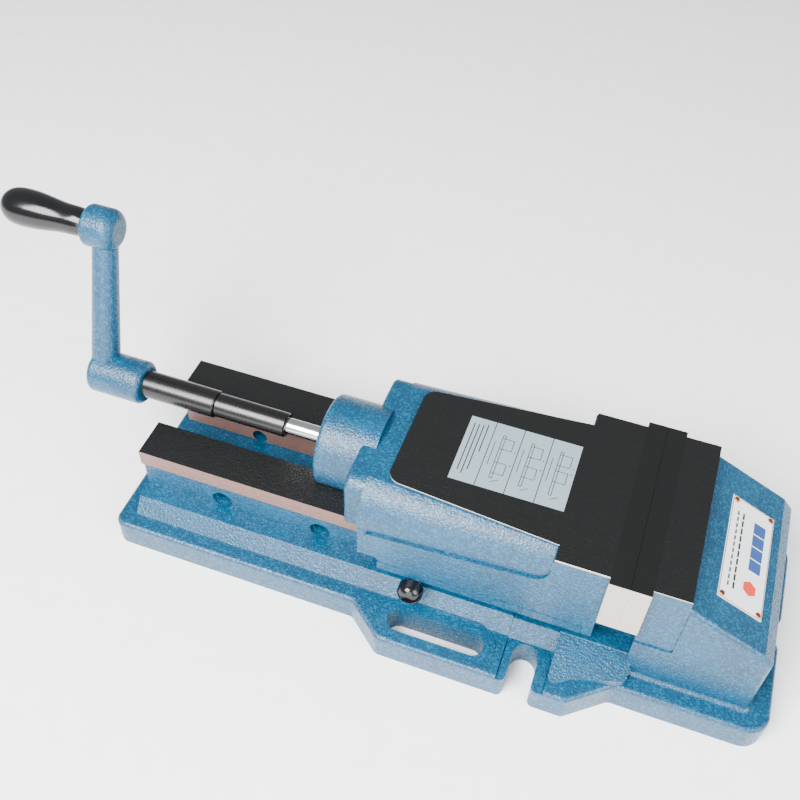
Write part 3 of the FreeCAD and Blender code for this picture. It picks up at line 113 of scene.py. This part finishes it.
class VisePrint(bpy.types.PropertyGroup):
    """Nameplate, label and plastics."""
    plate: tint("Nameplate", "White of the nameplate", "#D9DBDA")
    border: tint("Nameplate border", "Thin border round the nameplate", "#6A4332")
    mark: tint("Nameplate mark", "Broad mark on the nameplate", "#27477F")
    accent: tint("Nameplate accent", "Small emblem on the nameplate", "#C5352B")
    film: tint("Label film", "Film of the label", "#7F9097")
    ink: tint("Ink", "Thin printed lines", "#20282D")
    plastic: tint("Black plastic", "Crank grip and pin knob", "#08080A")
    rubber: tint("Rubber", "Seals and wiper", "#151515")
    ink_height: length("Ink height", "How far the print stands off its plate", 0.03 * MM)


class ViseStage(bpy.types.PropertyGroup):
    """Floor and lights."""
    floor: tint("Floor", "Colour of the floor", "#FFFFFF")
    key: FloatProperty(name="Key light", description="Power of the key light", default=150.0, unit="POWER")
    fill: FloatProperty(name="Fill light", description="Power of the fill light", default=48.0, unit="POWER")
    front: FloatProperty(name="Front light", description="Power of the low front light", default=34.0,
                         unit="POWER")
    sky: FloatProperty(name="Sky", description="Strength of the even light from all round", default=0.7)


# ------------------------------------------------------------------ materials
def add(tree, kind, inputs=(), **settings):
    """Add one node with its settings, socket values and links."""
    made = tree.nodes.new(kind)
    for key, value in settings.items():
        setattr(made, key, value)
    for socket, value in dict(inputs).items():
        if isinstance(value, bpy.types.NodeSocket):
            tree.links.new(value, made.inputs[socket])
        else:
            made.inputs[socket].default_value = value
    return made


def start(name, **uniform):
    """New material; gives it, its node tree and its Principled shader with the uniform values set."""
    made = bpy.data.materials.new(name)
    made.use_nodes = True
    shader = made.node_tree.nodes["Principled BSDF"]
    for socket, value in uniform.items():
        shader.inputs[socket.replace("_", " ")].default_value = value
    return made, made.node_tree, shader


def rgba(values):
    """Colour with full opacity."""
    return (*values, 1.0)


def on_face(tree, place, normal, axis, value, low_z=None):
    """Mask of the flat faces square to one axis at a place on both sides of the middle."""
    far = add(tree, "ShaderNodeMath", {0: place[axis]}, operation="ABSOLUTE").outputs[0]
    near = add(tree, "ShaderNodeMath", {0: far, 1: value, 2: FACE_BAND}, operation="COMPARE").outputs[0]
    facing = add(tree, "ShaderNodeMath", {0: normal[axis]}, operation="ABSOLUTE").outputs[0]
    square = add(tree, "ShaderNodeMath", {0: facing, 1: SQUARE_ON}, operation="GREATER_THAN").outputs[0]
    mask = add(tree, "ShaderNodeMath", {0: near, 1: square}, operation="MULTIPLY").outputs[0]
    if low_z is not None:
        above = add(tree, "ShaderNodeMath", {0: place["Z"], 1: low_z}, operation="GREATER_THAN").outputs[0]
        mask = add(tree, "ShaderNodeMath", {0: mask, 1: above}, operation="MULTIPLY").outputs[0]
    return mask


def hammered_enamel(name, paint, metal, tops=(), sides=()):
    """Enamel sprayed on cast iron; the bare ground faces get painted reflections, and the tops' edges a
    painted highlight.
    """
    # Hammer-finish enamel: silicone in the thick sprayed coat pulls it into fine dimples, and metal
    # flakes float in it, so highlights break into sparkles and flat faces look softly mottled.
    made, tree, shader = start(name, IOR=1.5)
    where = add(tree, "ShaderNodeTexCoord")
    spot = where.outputs["Object"]
    dimples = add(tree, "ShaderNodeTexNoise", {"Vector": spot, "Scale": 1 / paint.grain, "Detail": 2.0})
    flakes = add(tree, "ShaderNodeTexVoronoi", {"Vector": spot, "Scale": 1 / (0.9 * paint.grain)})
    clouds = add(tree, "ShaderNodeTexNoise", {"Vector": spot, "Scale": 1 / (30 * paint.grain), "Detail": 3.0})
    bright = add(tree, "ShaderNodeSeparateColor", {"Color": flakes.outputs["Color"]}).outputs["Red"]
    seen = add(tree, "ShaderNodeMapRange",
               {"Value": bright, "From Min": 0.5, "From Max": 1.0, "To Max": 0.22}).outputs[0]
    thick = add(tree, "ShaderNodeMapRange",
                {"Value": clouds.outputs["Fac"], "From Min": 0.3, "From Max": 0.75}).outputs[0]
    body = add(tree, "ShaderNodeMix", {0: thick, 6: rgba(paint.base), 7: rgba(paint.deep)},
               data_type="RGBA").outputs[2]
    tone = add(tree, "ShaderNodeMix", {0: seen, 6: body, 7: rgba(paint.flake)}, data_type="RGBA").outputs[2]
    gloss = add(tree, "ShaderNodeMapRange", {"Value": bright, "To Min": 0.38, "To Max": 0.24}).outputs[0]
    if tops or sides:
        place = add(tree, "ShaderNodeSeparateXYZ", {0: spot}).outputs
        normal = add(tree, "ShaderNodeSeparateXYZ", {0: where.outputs["Normal"]}).outputs
        # tool marks of the last grinding pass, drawn coarser than the real 0.1 mm so that they show
        stretched = add(tree, "ShaderNodeMapping", {"Vector": spot, "Scale": (40, 900, 1)})
        marks = add(tree, "ShaderNodeTexNoise", {"Vector": stretched.outputs[0], "Scale": 1.0, "Detail": 3.0})
        dull = add(tree, "ShaderNodeMapRange", {"Value": marks.outputs["Fac"], "To Min": 0.3, "To Max": 0.46})
        # the ground faces get the near-black ground colour: a painted reflection of a dark room
        for height in tops:
            mask = on_face(tree, place, normal, "Z", height)
            tone = add(tree, "ShaderNodeMix", {0: mask, 6: tone, 7: rgba(metal.ground)},
                       data_type="RGBA").outputs[2]
            gloss = add(tree, "ShaderNodeMix", {0: mask, 2: gloss, 3: dull.outputs[0]}).outputs[0]
        # painted highlight: a bright line in the plate colour along the sides of the top, partly real bare
        # steel where the grinding wheel breaks the paint
        above = add(tree, "ShaderNodeMath", {0: place["Z"], 1: JAW_TOP - HIGHLIGHT_EDGE_BAND}, operation="GREATER_THAN")
        leaning = add(tree, "ShaderNodeMath", {0: normal["Z"], 1: LEANING}, operation="LESS_THAN")
        edge = add(tree, "ShaderNodeMath", {0: above.outputs[0], 1: leaning.outputs[0]}, operation="MULTIPLY")
        tone = add(tree, "ShaderNodeMix", {0: edge.outputs[0], 6: tone, 7: rgba(metal.plate)},
                   data_type="RGBA").outputs[2]
        # the milled rail sides get the brownish rail colour: a painted reflection of a brown floor
        for half, low in sides:
            mask = on_face(tree, place, normal, "Y", half, low)
            tone = add(tree, "ShaderNodeMix", {0: mask, 6: tone, 7: rgba(metal.rail_side)},
                       data_type="RGBA").outputs[2]
            gloss = add(tree, "ShaderNodeMix", {0: mask, 2: gloss, 3: dull.outputs[0]}).outputs[0]
    bump = add(tree, "ShaderNodeBump",
               {"Height": dimples.outputs["Fac"], "Distance": paint.depth, "Strength": 0.9})
    tree.links.new(tone, shader.inputs["Base Color"])
    tree.links.new(gloss, shader.inputs["Roughness"])
    tree.links.new(bump.outputs[0], shader.inputs["Normal"])
    return made


def worked_metal(name, tone, rough, grain, metallic=1.0, variation=0.12):
    """Bare metal whose tool marks run as the grain vector stretches them, given in marks a metre."""
    made, tree, shader = start(name, Metallic=metallic)
    where = add(tree, "ShaderNodeTexCoord").outputs["Object"]
    stretched = add(tree, "ShaderNodeMapping", {"Vector": where, "Scale": grain})
    marks = add(tree, "ShaderNodeTexNoise", {"Vector": stretched.outputs[0], "Scale": 1.0, "Detail": 3.0})
    dark = rgba([c * (1 - variation) for c in tone])
    shade = add(tree, "ShaderNodeMix", {0: marks.outputs["Fac"], 6: dark, 7: rgba(tone)}, data_type="RGBA")
    dull = add(tree, "ShaderNodeMapRange",
               {"Value": marks.outputs["Fac"], "To Min": rough * 0.75, "To Max": rough * 1.3})
    bump = add(tree, "ShaderNodeBump",
               {"Height": marks.outputs["Fac"], "Distance": MARK_DEPTH, "Strength": 0.5})
    tree.links.new(shade.outputs[2], shader.inputs["Base Color"])
    tree.links.new(dull.outputs[0], shader.inputs["Roughness"])
    tree.links.new(bump.outputs[0], shader.inputs["Normal"])
    return made


def jaw_plate_steel(name, metal):
    """Hardened plate: bright ground ends and face, with the top painted near-black as a painted reflection of
    a dark room.
    """
    # Hardened tool steel, surface-ground: straight fine lines and a soft grey shine on the ends.
    made, tree, shader = start(name)
    where = add(tree, "ShaderNodeTexCoord")
    place = add(tree, "ShaderNodeSeparateXYZ", {0: where.outputs["Object"]}).outputs
    # the painted dark reflection on the top runs over the plate's broken edges, so it is picked by height
    # alone
    top = add(tree, "ShaderNodeMath", {0: place["Z"], 1: JAW_TOP - FACE_BAND},
              operation="GREATER_THAN").outputs[0]
    stretched = add(tree, "ShaderNodeMapping", {"Vector": where.outputs["Object"], "Scale": (900, 900, 30)})
    marks = add(tree, "ShaderNodeTexNoise", {"Vector": stretched.outputs[0], "Scale": 1.0, "Detail": 3.0})
    dark = rgba([c * 0.86 for c in metal.plate])
    ends = add(tree, "ShaderNodeMix", {0: marks.outputs["Fac"], 6: dark, 7: rgba(metal.plate)},
               data_type="RGBA")
    tone = add(tree, "ShaderNodeMix", {0: top, 6: ends.outputs[2], 7: rgba(metal.ground)}, data_type="RGBA")
    shine = add(tree, "ShaderNodeMix", {0: top, 2: 0.35, 3: 0.0})
    dull = add(tree, "ShaderNodeMapRange", {"Value": marks.outputs["Fac"], "To Min": 0.28, "To Max": 0.42})
    tree.links.new(tone.outputs[2], shader.inputs["Base Color"])
    tree.links.new(shine.outputs[0], shader.inputs["Metallic"])
    tree.links.new(dull.outputs[0], shader.inputs["Roughness"])
    return made


def smooth_solid(name, tone, rough, grain, depth):
    """Plastic, rubber, film or ink with a fine moulded or printed grain, given in metres."""
    made, tree, shader = start(name, IOR=1.48)
    where = add(tree, "ShaderNodeTexCoord").outputs["Object"]
    skin = add(tree, "ShaderNodeTexNoise", {"Vector": where, "Scale": 1 / grain, "Detail": 3.0})
    dark = rgba([c * 0.9 for c in tone])
    shade = add(tree, "ShaderNodeMix", {0: skin.outputs["Fac"], 6: dark, 7: rgba(tone)}, data_type="RGBA")
    dull = add(tree, "ShaderNodeMapRange",
               {"Value": skin.outputs["Fac"], "To Min": rough * 0.8, "To Max": rough * 1.2})
    bump = add(tree, "ShaderNodeBump", {"Height": skin.outputs["Fac"], "Distance": depth, "Strength": 0.6})
    tree.links.new(shade.outputs[2], shader.inputs["Base Color"])
    tree.links.new(dull.outputs[0], shader.inputs["Roughness"])
    tree.links.new(bump.outputs[0], shader.inputs["Normal"])
    return made


def printed_ink(name, tone):
    """Screen-printed ink: matt and very thin."""
    return smooth_solid(name, tone, 0.4, MM, 0.005 * MM)


def dress(material, *nodes):
    """Give CAD nodes a material."""
    for node in nodes:
        slots = NODES[node].data.materials
        slots.clear()
        slots.append(material)


# ------------------------------------------------------------------ printed shapes
def broken_edges(name, height):
    """Name the shape that was just made, keep its size in its mesh and break its edges."""
    bpy.ops.object.transform_apply(location=True, rotation=True, scale=True)
    piece = bpy.context.object
    piece.name = name
    piece.data.name = name
    bpy.ops.object.mode_set(mode="EDIT")
    bpy.ops.mesh.select_all(action="SELECT")
    bpy.ops.mesh.bevel(offset=height * 0.25, segments=1)
    bpy.ops.object.mode_set(mode="OBJECT")
    return piece


def bars(name, rows, height):
    """One piece of thin raised bars, each given as middle x, middle y, length x, length y and turn."""
    bpy.ops.object.select_all(action="DESELECT")
    made = []
    for x, y, long_x, long_y, turn in rows:
        bpy.ops.mesh.primitive_cube_add(size=1, location=(x, y, height / 2), rotation=(0, 0, turn))
        bpy.context.object.scale = (long_x, long_y, height)
        made.append(bpy.context.object)
    for piece in made:
        piece.select_set(True)
    bpy.context.view_layer.objects.active = made[0]
    bpy.ops.object.join()
    return broken_edges(name, height)


def disc(name, x, y, radius, height, corners):
    """One raised flat disc or polygon with a bevelled rim."""
    bpy.ops.object.select_all(action="DESELECT")
    bpy.ops.mesh.primitive_cylinder_add(vertices=corners, radius=radius, depth=height,
                                        location=(x, y, height / 2))
    return broken_edges(name, height)


def lay(piece, place, body, material):
    """Put a flat piece in its place, in its mesh, and make it ride."""
    bpy.ops.object.select_all(action="DESELECT")
    piece.matrix_world = place
    piece.select_set(True)
    bpy.context.view_layer.objects.active = piece
    bpy.ops.object.transform_apply(location=True, rotation=True, scale=True)
    piece.data.materials.clear()
    piece.data.materials.append(material)
    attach(piece, body)


def plate_place(node):
    """Matrix from a flat drawing to the top face of a thin CAD plate: x along its slope, y across."""
    mesh = NODES[node].data
    up = max((p for p in mesh.polygons if p.normal.z > 0.5), key=lambda p: p.area).normal.copy()
    spots = [v.co for v in mesh.vertices]
    high = max(s.dot(up) for s in spots)
    low_corner, high_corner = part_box(node)
    middle = (low_corner + high_corner) / 2
    middle += up * (high - middle.dot(up))
    across = Vector((0, 1, 0))
    along = across.cross(up).normalized()
    turn = Matrix((along, across, up)).transposed().to_4x4()
    return Matrix.Translation(middle) @ turn


# ------------------------------------------------------------------ operators
class VISE_OT_castings(bpy.types.Operator):
    """Enamel on the castings, with their ground faces bare"""
    bl_idname = "vise.castings"
    bl_label = "Castings"

    def execute(self, context):
        paint, metal = context.scene.vise_enamel, context.scene.vise_metal
        sides = [(RAIL_HALF, RAIL_TOP - RAIL_LIP - MM), (CHANNEL_HALF, RAIL_TOP / 2)]
        dress(hammered_enamel("hammer_enamel_bed", paint, metal, [RAIL_TOP, JAW_TOP], sides), "base_casting")
        dress(hammered_enamel("hammer_enamel_jaw", paint, metal, [JAW_TOP]), "movable_jaw")
        dress(hammered_enamel("hammer_enamel", paint, metal), "rear_cover", "crank_arm", "keeper_near",
              "keeper_far")
        return {"FINISHED"}


class VISE_OT_jaw_plates(bpy.types.Operator):
    """Hardened jaw plates, thrust pad and nut block"""
    bl_idname = "vise.jaw_plates"
    bl_label = "Jaw plates"

    def execute(self, context):
        metal = context.scene.vise_metal
        dress(jaw_plate_steel("ground_tool_steel", metal), "fixed_jaw_plate", "movable_jaw_plate")
        # Milled steel: broad cutter marks, drawn about a millimetre apart.
        milled = worked_metal("milled_steel", metal.plate, 0.4, (1000, 60, 60))
        dress(milled, "thrust_pad", "nut_block")
        return {"FINISHED"}


class VISE_OT_drive_line(bpy.types.Operator):
    """Screw, rod, sleeve, shaft and the booster's turned pieces"""
    bl_idname = "vise.drive_line"
    bl_label = "Drive line"

    def execute(self, context):
        metal = context.scene.vise_metal
        # Turned bar steel: rings round the axis, drawn coarser than the real 0.2 mm feed.
        turned = worked_metal("turned_steel", metal.bright, 0.16, (1200, 20, 20))
        dress(turned, "drive_rod", "locking_pin", "lead_screw", "screw_locknut", "ram", "plunger",
              "ram_gland", "thrust_bearing", "detent_ball", "grip_bolt", "grip_washer")
        # Blued steel, oiled: almost black, with one sharp streak of light along the round.
        blued = worked_metal("blued_steel", metal.black, 0.26, (900, 20, 20), metallic=0.0, variation=0.3)
        dress(blued, "drive_shaft", "clutch_sleeve", "coupling_pins", "nose_cap", "fixed_plate_screws",
              "movable_plate_screws", "cover_screws", "keeper_screws", "crank_set_screw", "detent_plug",
              "oil_plug")
        # Cast bronze, bored: warm brown-gold, with marks that run round the axis.
        dress(worked_metal("cast_bronze", metal.bronze, 0.34, (800, 80, 80)), "spindle_nut", "screw_bush")
        # Spring steel: dull grey, with marks that run no one way.
        wire = worked_metal("spring_wire", metal.spring, 0.35, (400, 400, 400))
        dress(wire, "detent_spring", "clutch_spring", "ram_springs")
        return {"FINISHED"}


class VISE_OT_grip_and_knob(bpy.types.Operator):
    """Crank grip, pin knob, seals and wiper"""
    bl_idname = "vise.grip_and_knob"
    bl_label = "Grip, knob and seals"

    def execute(self, context):
        tones = context.scene.vise_print
        # Phenolic plastic, compression-moulded and polished: deep black with a hard gloss.
        dress(smooth_solid("phenolic_plastic", tones.plastic, 0.17, 4 * MM, 0.03 * MM), "crank_grip",
              "pin_knob")
        # Nitrile rubber, moulded: dull and slightly grey.
        dress(smooth_solid("nitrile_rubber", tones.rubber, 0.7, 0.8 * MM, 0.02 * MM), "ram_seal",
              "plunger_seal", "rod_wiper")
        return {"FINISHED"}


class VISE_OT_nameplate(bpy.types.Operator):
    """Printed nameplate with a plain generic mark and its rivets"""
    bl_idname = "vise.nameplate"
    bl_label = "Nameplate"

    def execute(self, context):
        tones, metal = context.scene.vise_print, context.scene.vise_metal
        # Anodised aluminium sheet, screen-printed: flat white with a faint satin sheen.
        dress(smooth_solid("printed_aluminium", tones.plate, 0.38, 1.2 * MM, 0.01 * MM), "nameplate")
        # Copper-plated steel rivets, headed cold: small bright domes.
        dress(worked_metal("copper_plate", metal.copper, 0.3, (700, 700, 700)), "nameplate_rivets")
        place = plate_place("nameplate")
        low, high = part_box("nameplate")
        half_y = (high.y - low.y) / 2
        half_x = half_y * PLATE_RATIO
        edge = 0.6 * MM
        height = tones.ink_height
        border = [(side * (half_x - edge), 0, edge, 2 * (half_y - edge), 0) for side in (-1, 1)]
        border += [(0, side * (half_y - edge), 2 * (half_x - edge), edge, 0) for side in (-1, 1)]
        ink = printed_ink("screen_ink", tones.border)
        lay(bars("nameplate_border", border, height), place, "base", ink)
        blue = printed_ink("screen_ink_blue", tones.mark)
        mark = [(8 * MM, 11.5 * MM * k - 6 * MM, 11 * MM, 10.5 * MM, 0) for k in range(4)]
        lay(bars("nameplate_mark", mark, height), place, "base", blue)
        # rows of short dashes stand in for the fine print
        row_long = 72 * MM
        fine = []
        for x, width, dash, count in ((-13 * MM, 1.5 * MM, 4.2 * MM, 12), (-8 * MM, 1.8 * MM, 6.0 * MM, 10)):
            pitch = row_long / count
            fine += [(x, row_long / 2 - pitch * (k + 0.5), width, dash, 0) for k in range(count)]
        thin = printed_ink("screen_ink_fine", tones.ink)
        lay(bars("nameplate_lines", fine, height), place, "base", thin)
        red = printed_ink("screen_ink_red", tones.accent)
        emblem = disc("nameplate_emblem", 6 * MM, -27 * MM, 6.5 * MM, height, 6)
        lay(emblem, place, "base", red)
        return {"FINISHED"}


class VISE_OT_label(bpy.types.Operator):
    """Label film with plain line sketches of the vise at three openings"""
    bl_idname = "vise.label"
    bl_label = "Label"

    def execute(self, context):
        tones = context.scene.vise_print
        # Polyester film, printed: pale and slightly glossy.
        dress(smooth_solid("polyester_film", tones.film, 0.32, 2 * MM, 0.01 * MM), "instruction_label")
        low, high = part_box("instruction_label")
        middle = (low + high) / 2
        middle.z = high.z
        long_x, long_y = high.x - low.x, high.y - low.y
        line = 0.55 * MM
        bed_long = 44 * MM
        rows = []
        for k, share in enumerate((0.86, 0.9, 0.82, 0.5)):
            x = -long_x / 2 + (4.5 + 3.6 * k) * MM
            rows.append((x, (0.5 - share / 2) * long_y - 3 * MM, 0.9 * MM, share * (long_y - 8 * MM), 0))
        panel = (long_x - 21 * MM) / 3
        for k in range(3):
            left = -long_x / 2 + 21 * MM + panel * k
            rows.append((left, 0, 0.7 * MM, long_y, 0))
            opening = (1 - 0.3 * k) * 14 * MM
            bed, top = left + 0.36 * panel, left + 0.78 * panel
            rows += [(bed, 0, line, bed_long, 0), (bed + 2.2 * MM, 0, line, bed_long, 0)]
            for end in (-1, 1):
                rows.append((bed + 1.1 * MM, end * bed_long / 2, 2.5 * MM, line, 0))
            for start_y, depth in ((8 * MM, 11 * MM), (8 * MM - opening - 11 * MM, 11 * MM)):
                for y in (start_y, start_y + depth):
                    rows.append(((bed + top) / 2, y, top - bed, line, 0))
                rows.append((top, start_y + depth / 2, line, depth, 0))
            rows.append((left + 0.16 * panel, 2 * MM, line, 24 * MM, 0))
            rows.append(((bed + top) / 2, -24 * MM, 7 * MM, line, math.radians(35)))
            for y in (8 * MM, 8 * MM - opening):
                rows.append((left + 0.9 * panel, y, 1.1 * MM, 1.1 * MM, 0))
        ink = printed_ink("label_ink", tones.ink)
        lay(bars("label_lines", rows, tones.ink_height), Matrix.Translation(middle), "jaw", ink)
        return {"FINISHED"}


class VISE_OT_stage(bpy.types.Operator):
    """Pale floor, soft lights and the camera"""
    bl_idname = "vise.stage"
    bl_label = "Stage"

    def execute(self, context):
        stage = context.scene.vise_stage
        bpy.ops.object.select_all(action="DESELECT")
        bpy.ops.mesh.primitive_plane_add(size=12, location=(0, 0, -0.2 * MM))
        floor = context.object
        floor.name = "floor"
        # Matt paper floor: flat and pale, with only the softest shadow.
        floor.data.materials.append(smooth_solid("paper_sweep", stage.floor, 0.8, 20 * MM, 0.01 * MM))
        lights = (("key", (-0.75, -1.15, 1.55), 1.1, stage.key), ("fill", (1.25, -0.7, 1.0), 1.2, stage.fill),
                  ("front", (-0.1, -1.7, 0.55), 1.3, stage.front))
        for name, place, size, power in lights:
            bpy.ops.object.light_add(type="AREA", location=place)
            lamp = context.object
            lamp.name = name
            lamp.data.size = size
            lamp.data.energy = power
            back = Vector(place) - Vector(LAMP_AIM)
            lamp.rotation_euler = back.to_track_quat("Z", "Y").to_euler()
        world = bpy.data.worlds.new("studio")
        world.use_nodes = True
        backdrop = world.node_tree.nodes["Background"]
        backdrop.inputs["Color"].default_value = rgba(colour("#EDF0F3"))
        backdrop.inputs["Strength"].default_value = stage.sky
        context.scene.world = world
        self.camera(context)
        return {"FINISHED"}

    def camera(self, context):
        """Camera above and in front of the near side, slightly rolled."""
        azimuth, elevation, roll = math.radians(17.86), math.radians(48.35), math.radians(2.38)
        back = Vector((math.sin(azimuth) * math.cos(elevation), -math.cos(azimuth) * math.cos(elevation),
                       math.sin(elevation)))
        right = Vector((0, 0, 1)).cross(back).normalized()
        above = back.cross(right)
        across = right * math.cos(roll) + above * math.sin(roll)
        upward = above * math.cos(roll) - right * math.sin(roll)
        bpy.ops.object.camera_add()
        camera = context.object
        camera.name = "camera"
        camera.data.sensor_width = 36
        camera.data.lens = 45.1
        camera.data.clip_end = 20
        turn = Matrix((across, upward, back)).transposed().to_4x4()
        camera.matrix_world = Matrix.Translation((-45 * MM, -485.6 * MM, 752.1 * MM)) @ turn
        context.scene.camera = camera


OPERATORS = (VISE_OT_castings, VISE_OT_jaw_plates, VISE_OT_drive_line, VISE_OT_grip_and_knob,
             VISE_OT_nameplate, VISE_OT_label, VISE_OT_stage)
GROUPS = {"vise_enamel": ViseEnamel, "vise_metal": ViseMetal, "vise_print": VisePrint,
          "vise_stage": ViseStage}


class VISE_PT_panel(bpy.types.Panel):
    """Lists the vise's pieces and settings"""
    bl_idname = "VISE_PT_panel"
    bl_label = "Machine Vise"
    bl_space_type = "VIEW_3D"
    bl_region_type = "UI"
    bl_category = "Vise"

    def draw(self, context):
        for operator in OPERATORS:
            self.layout.operator(operator.bl_idname)
        for name, group in GROUPS.items():
            box = self.layout.box()
            for key in group.__annotations__:
                box.prop(getattr(context.scene, name), key)


def register():
    """Add the classes and their settings to Blender."""
    for group in GROUPS.values():
        bpy.utils.register_class(group)
    for operator in OPERATORS:
        bpy.utils.register_class(operator)
    bpy.utils.register_class(VISE_PT_panel)
    for name, group in GROUPS.items():
        setattr(bpy.types.Scene, name, PointerProperty(type=group))


def unregister():
    """Take the classes and their settings out again."""
    for name in GROUPS:
        delattr(bpy.types.Scene, name)
    bpy.utils.unregister_class(VISE_PT_panel)
    for operator in reversed(OPERATORS):
        bpy.utils.unregister_class(operator)
    for group in reversed(list(GROUPS.values())):
        bpy.utils.unregister_class(group)


def main():
    """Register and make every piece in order."""
    register()
    bpy.ops.vise.castings()
    bpy.ops.vise.jaw_plates()
    bpy.ops.vise.drive_line()
    bpy.ops.vise.grip_and_knob()
    bpy.ops.vise.nameplate()
    bpy.ops.vise.label()
    bpy.ops.vise.stage()


if __name__ == "__main__":
    main()
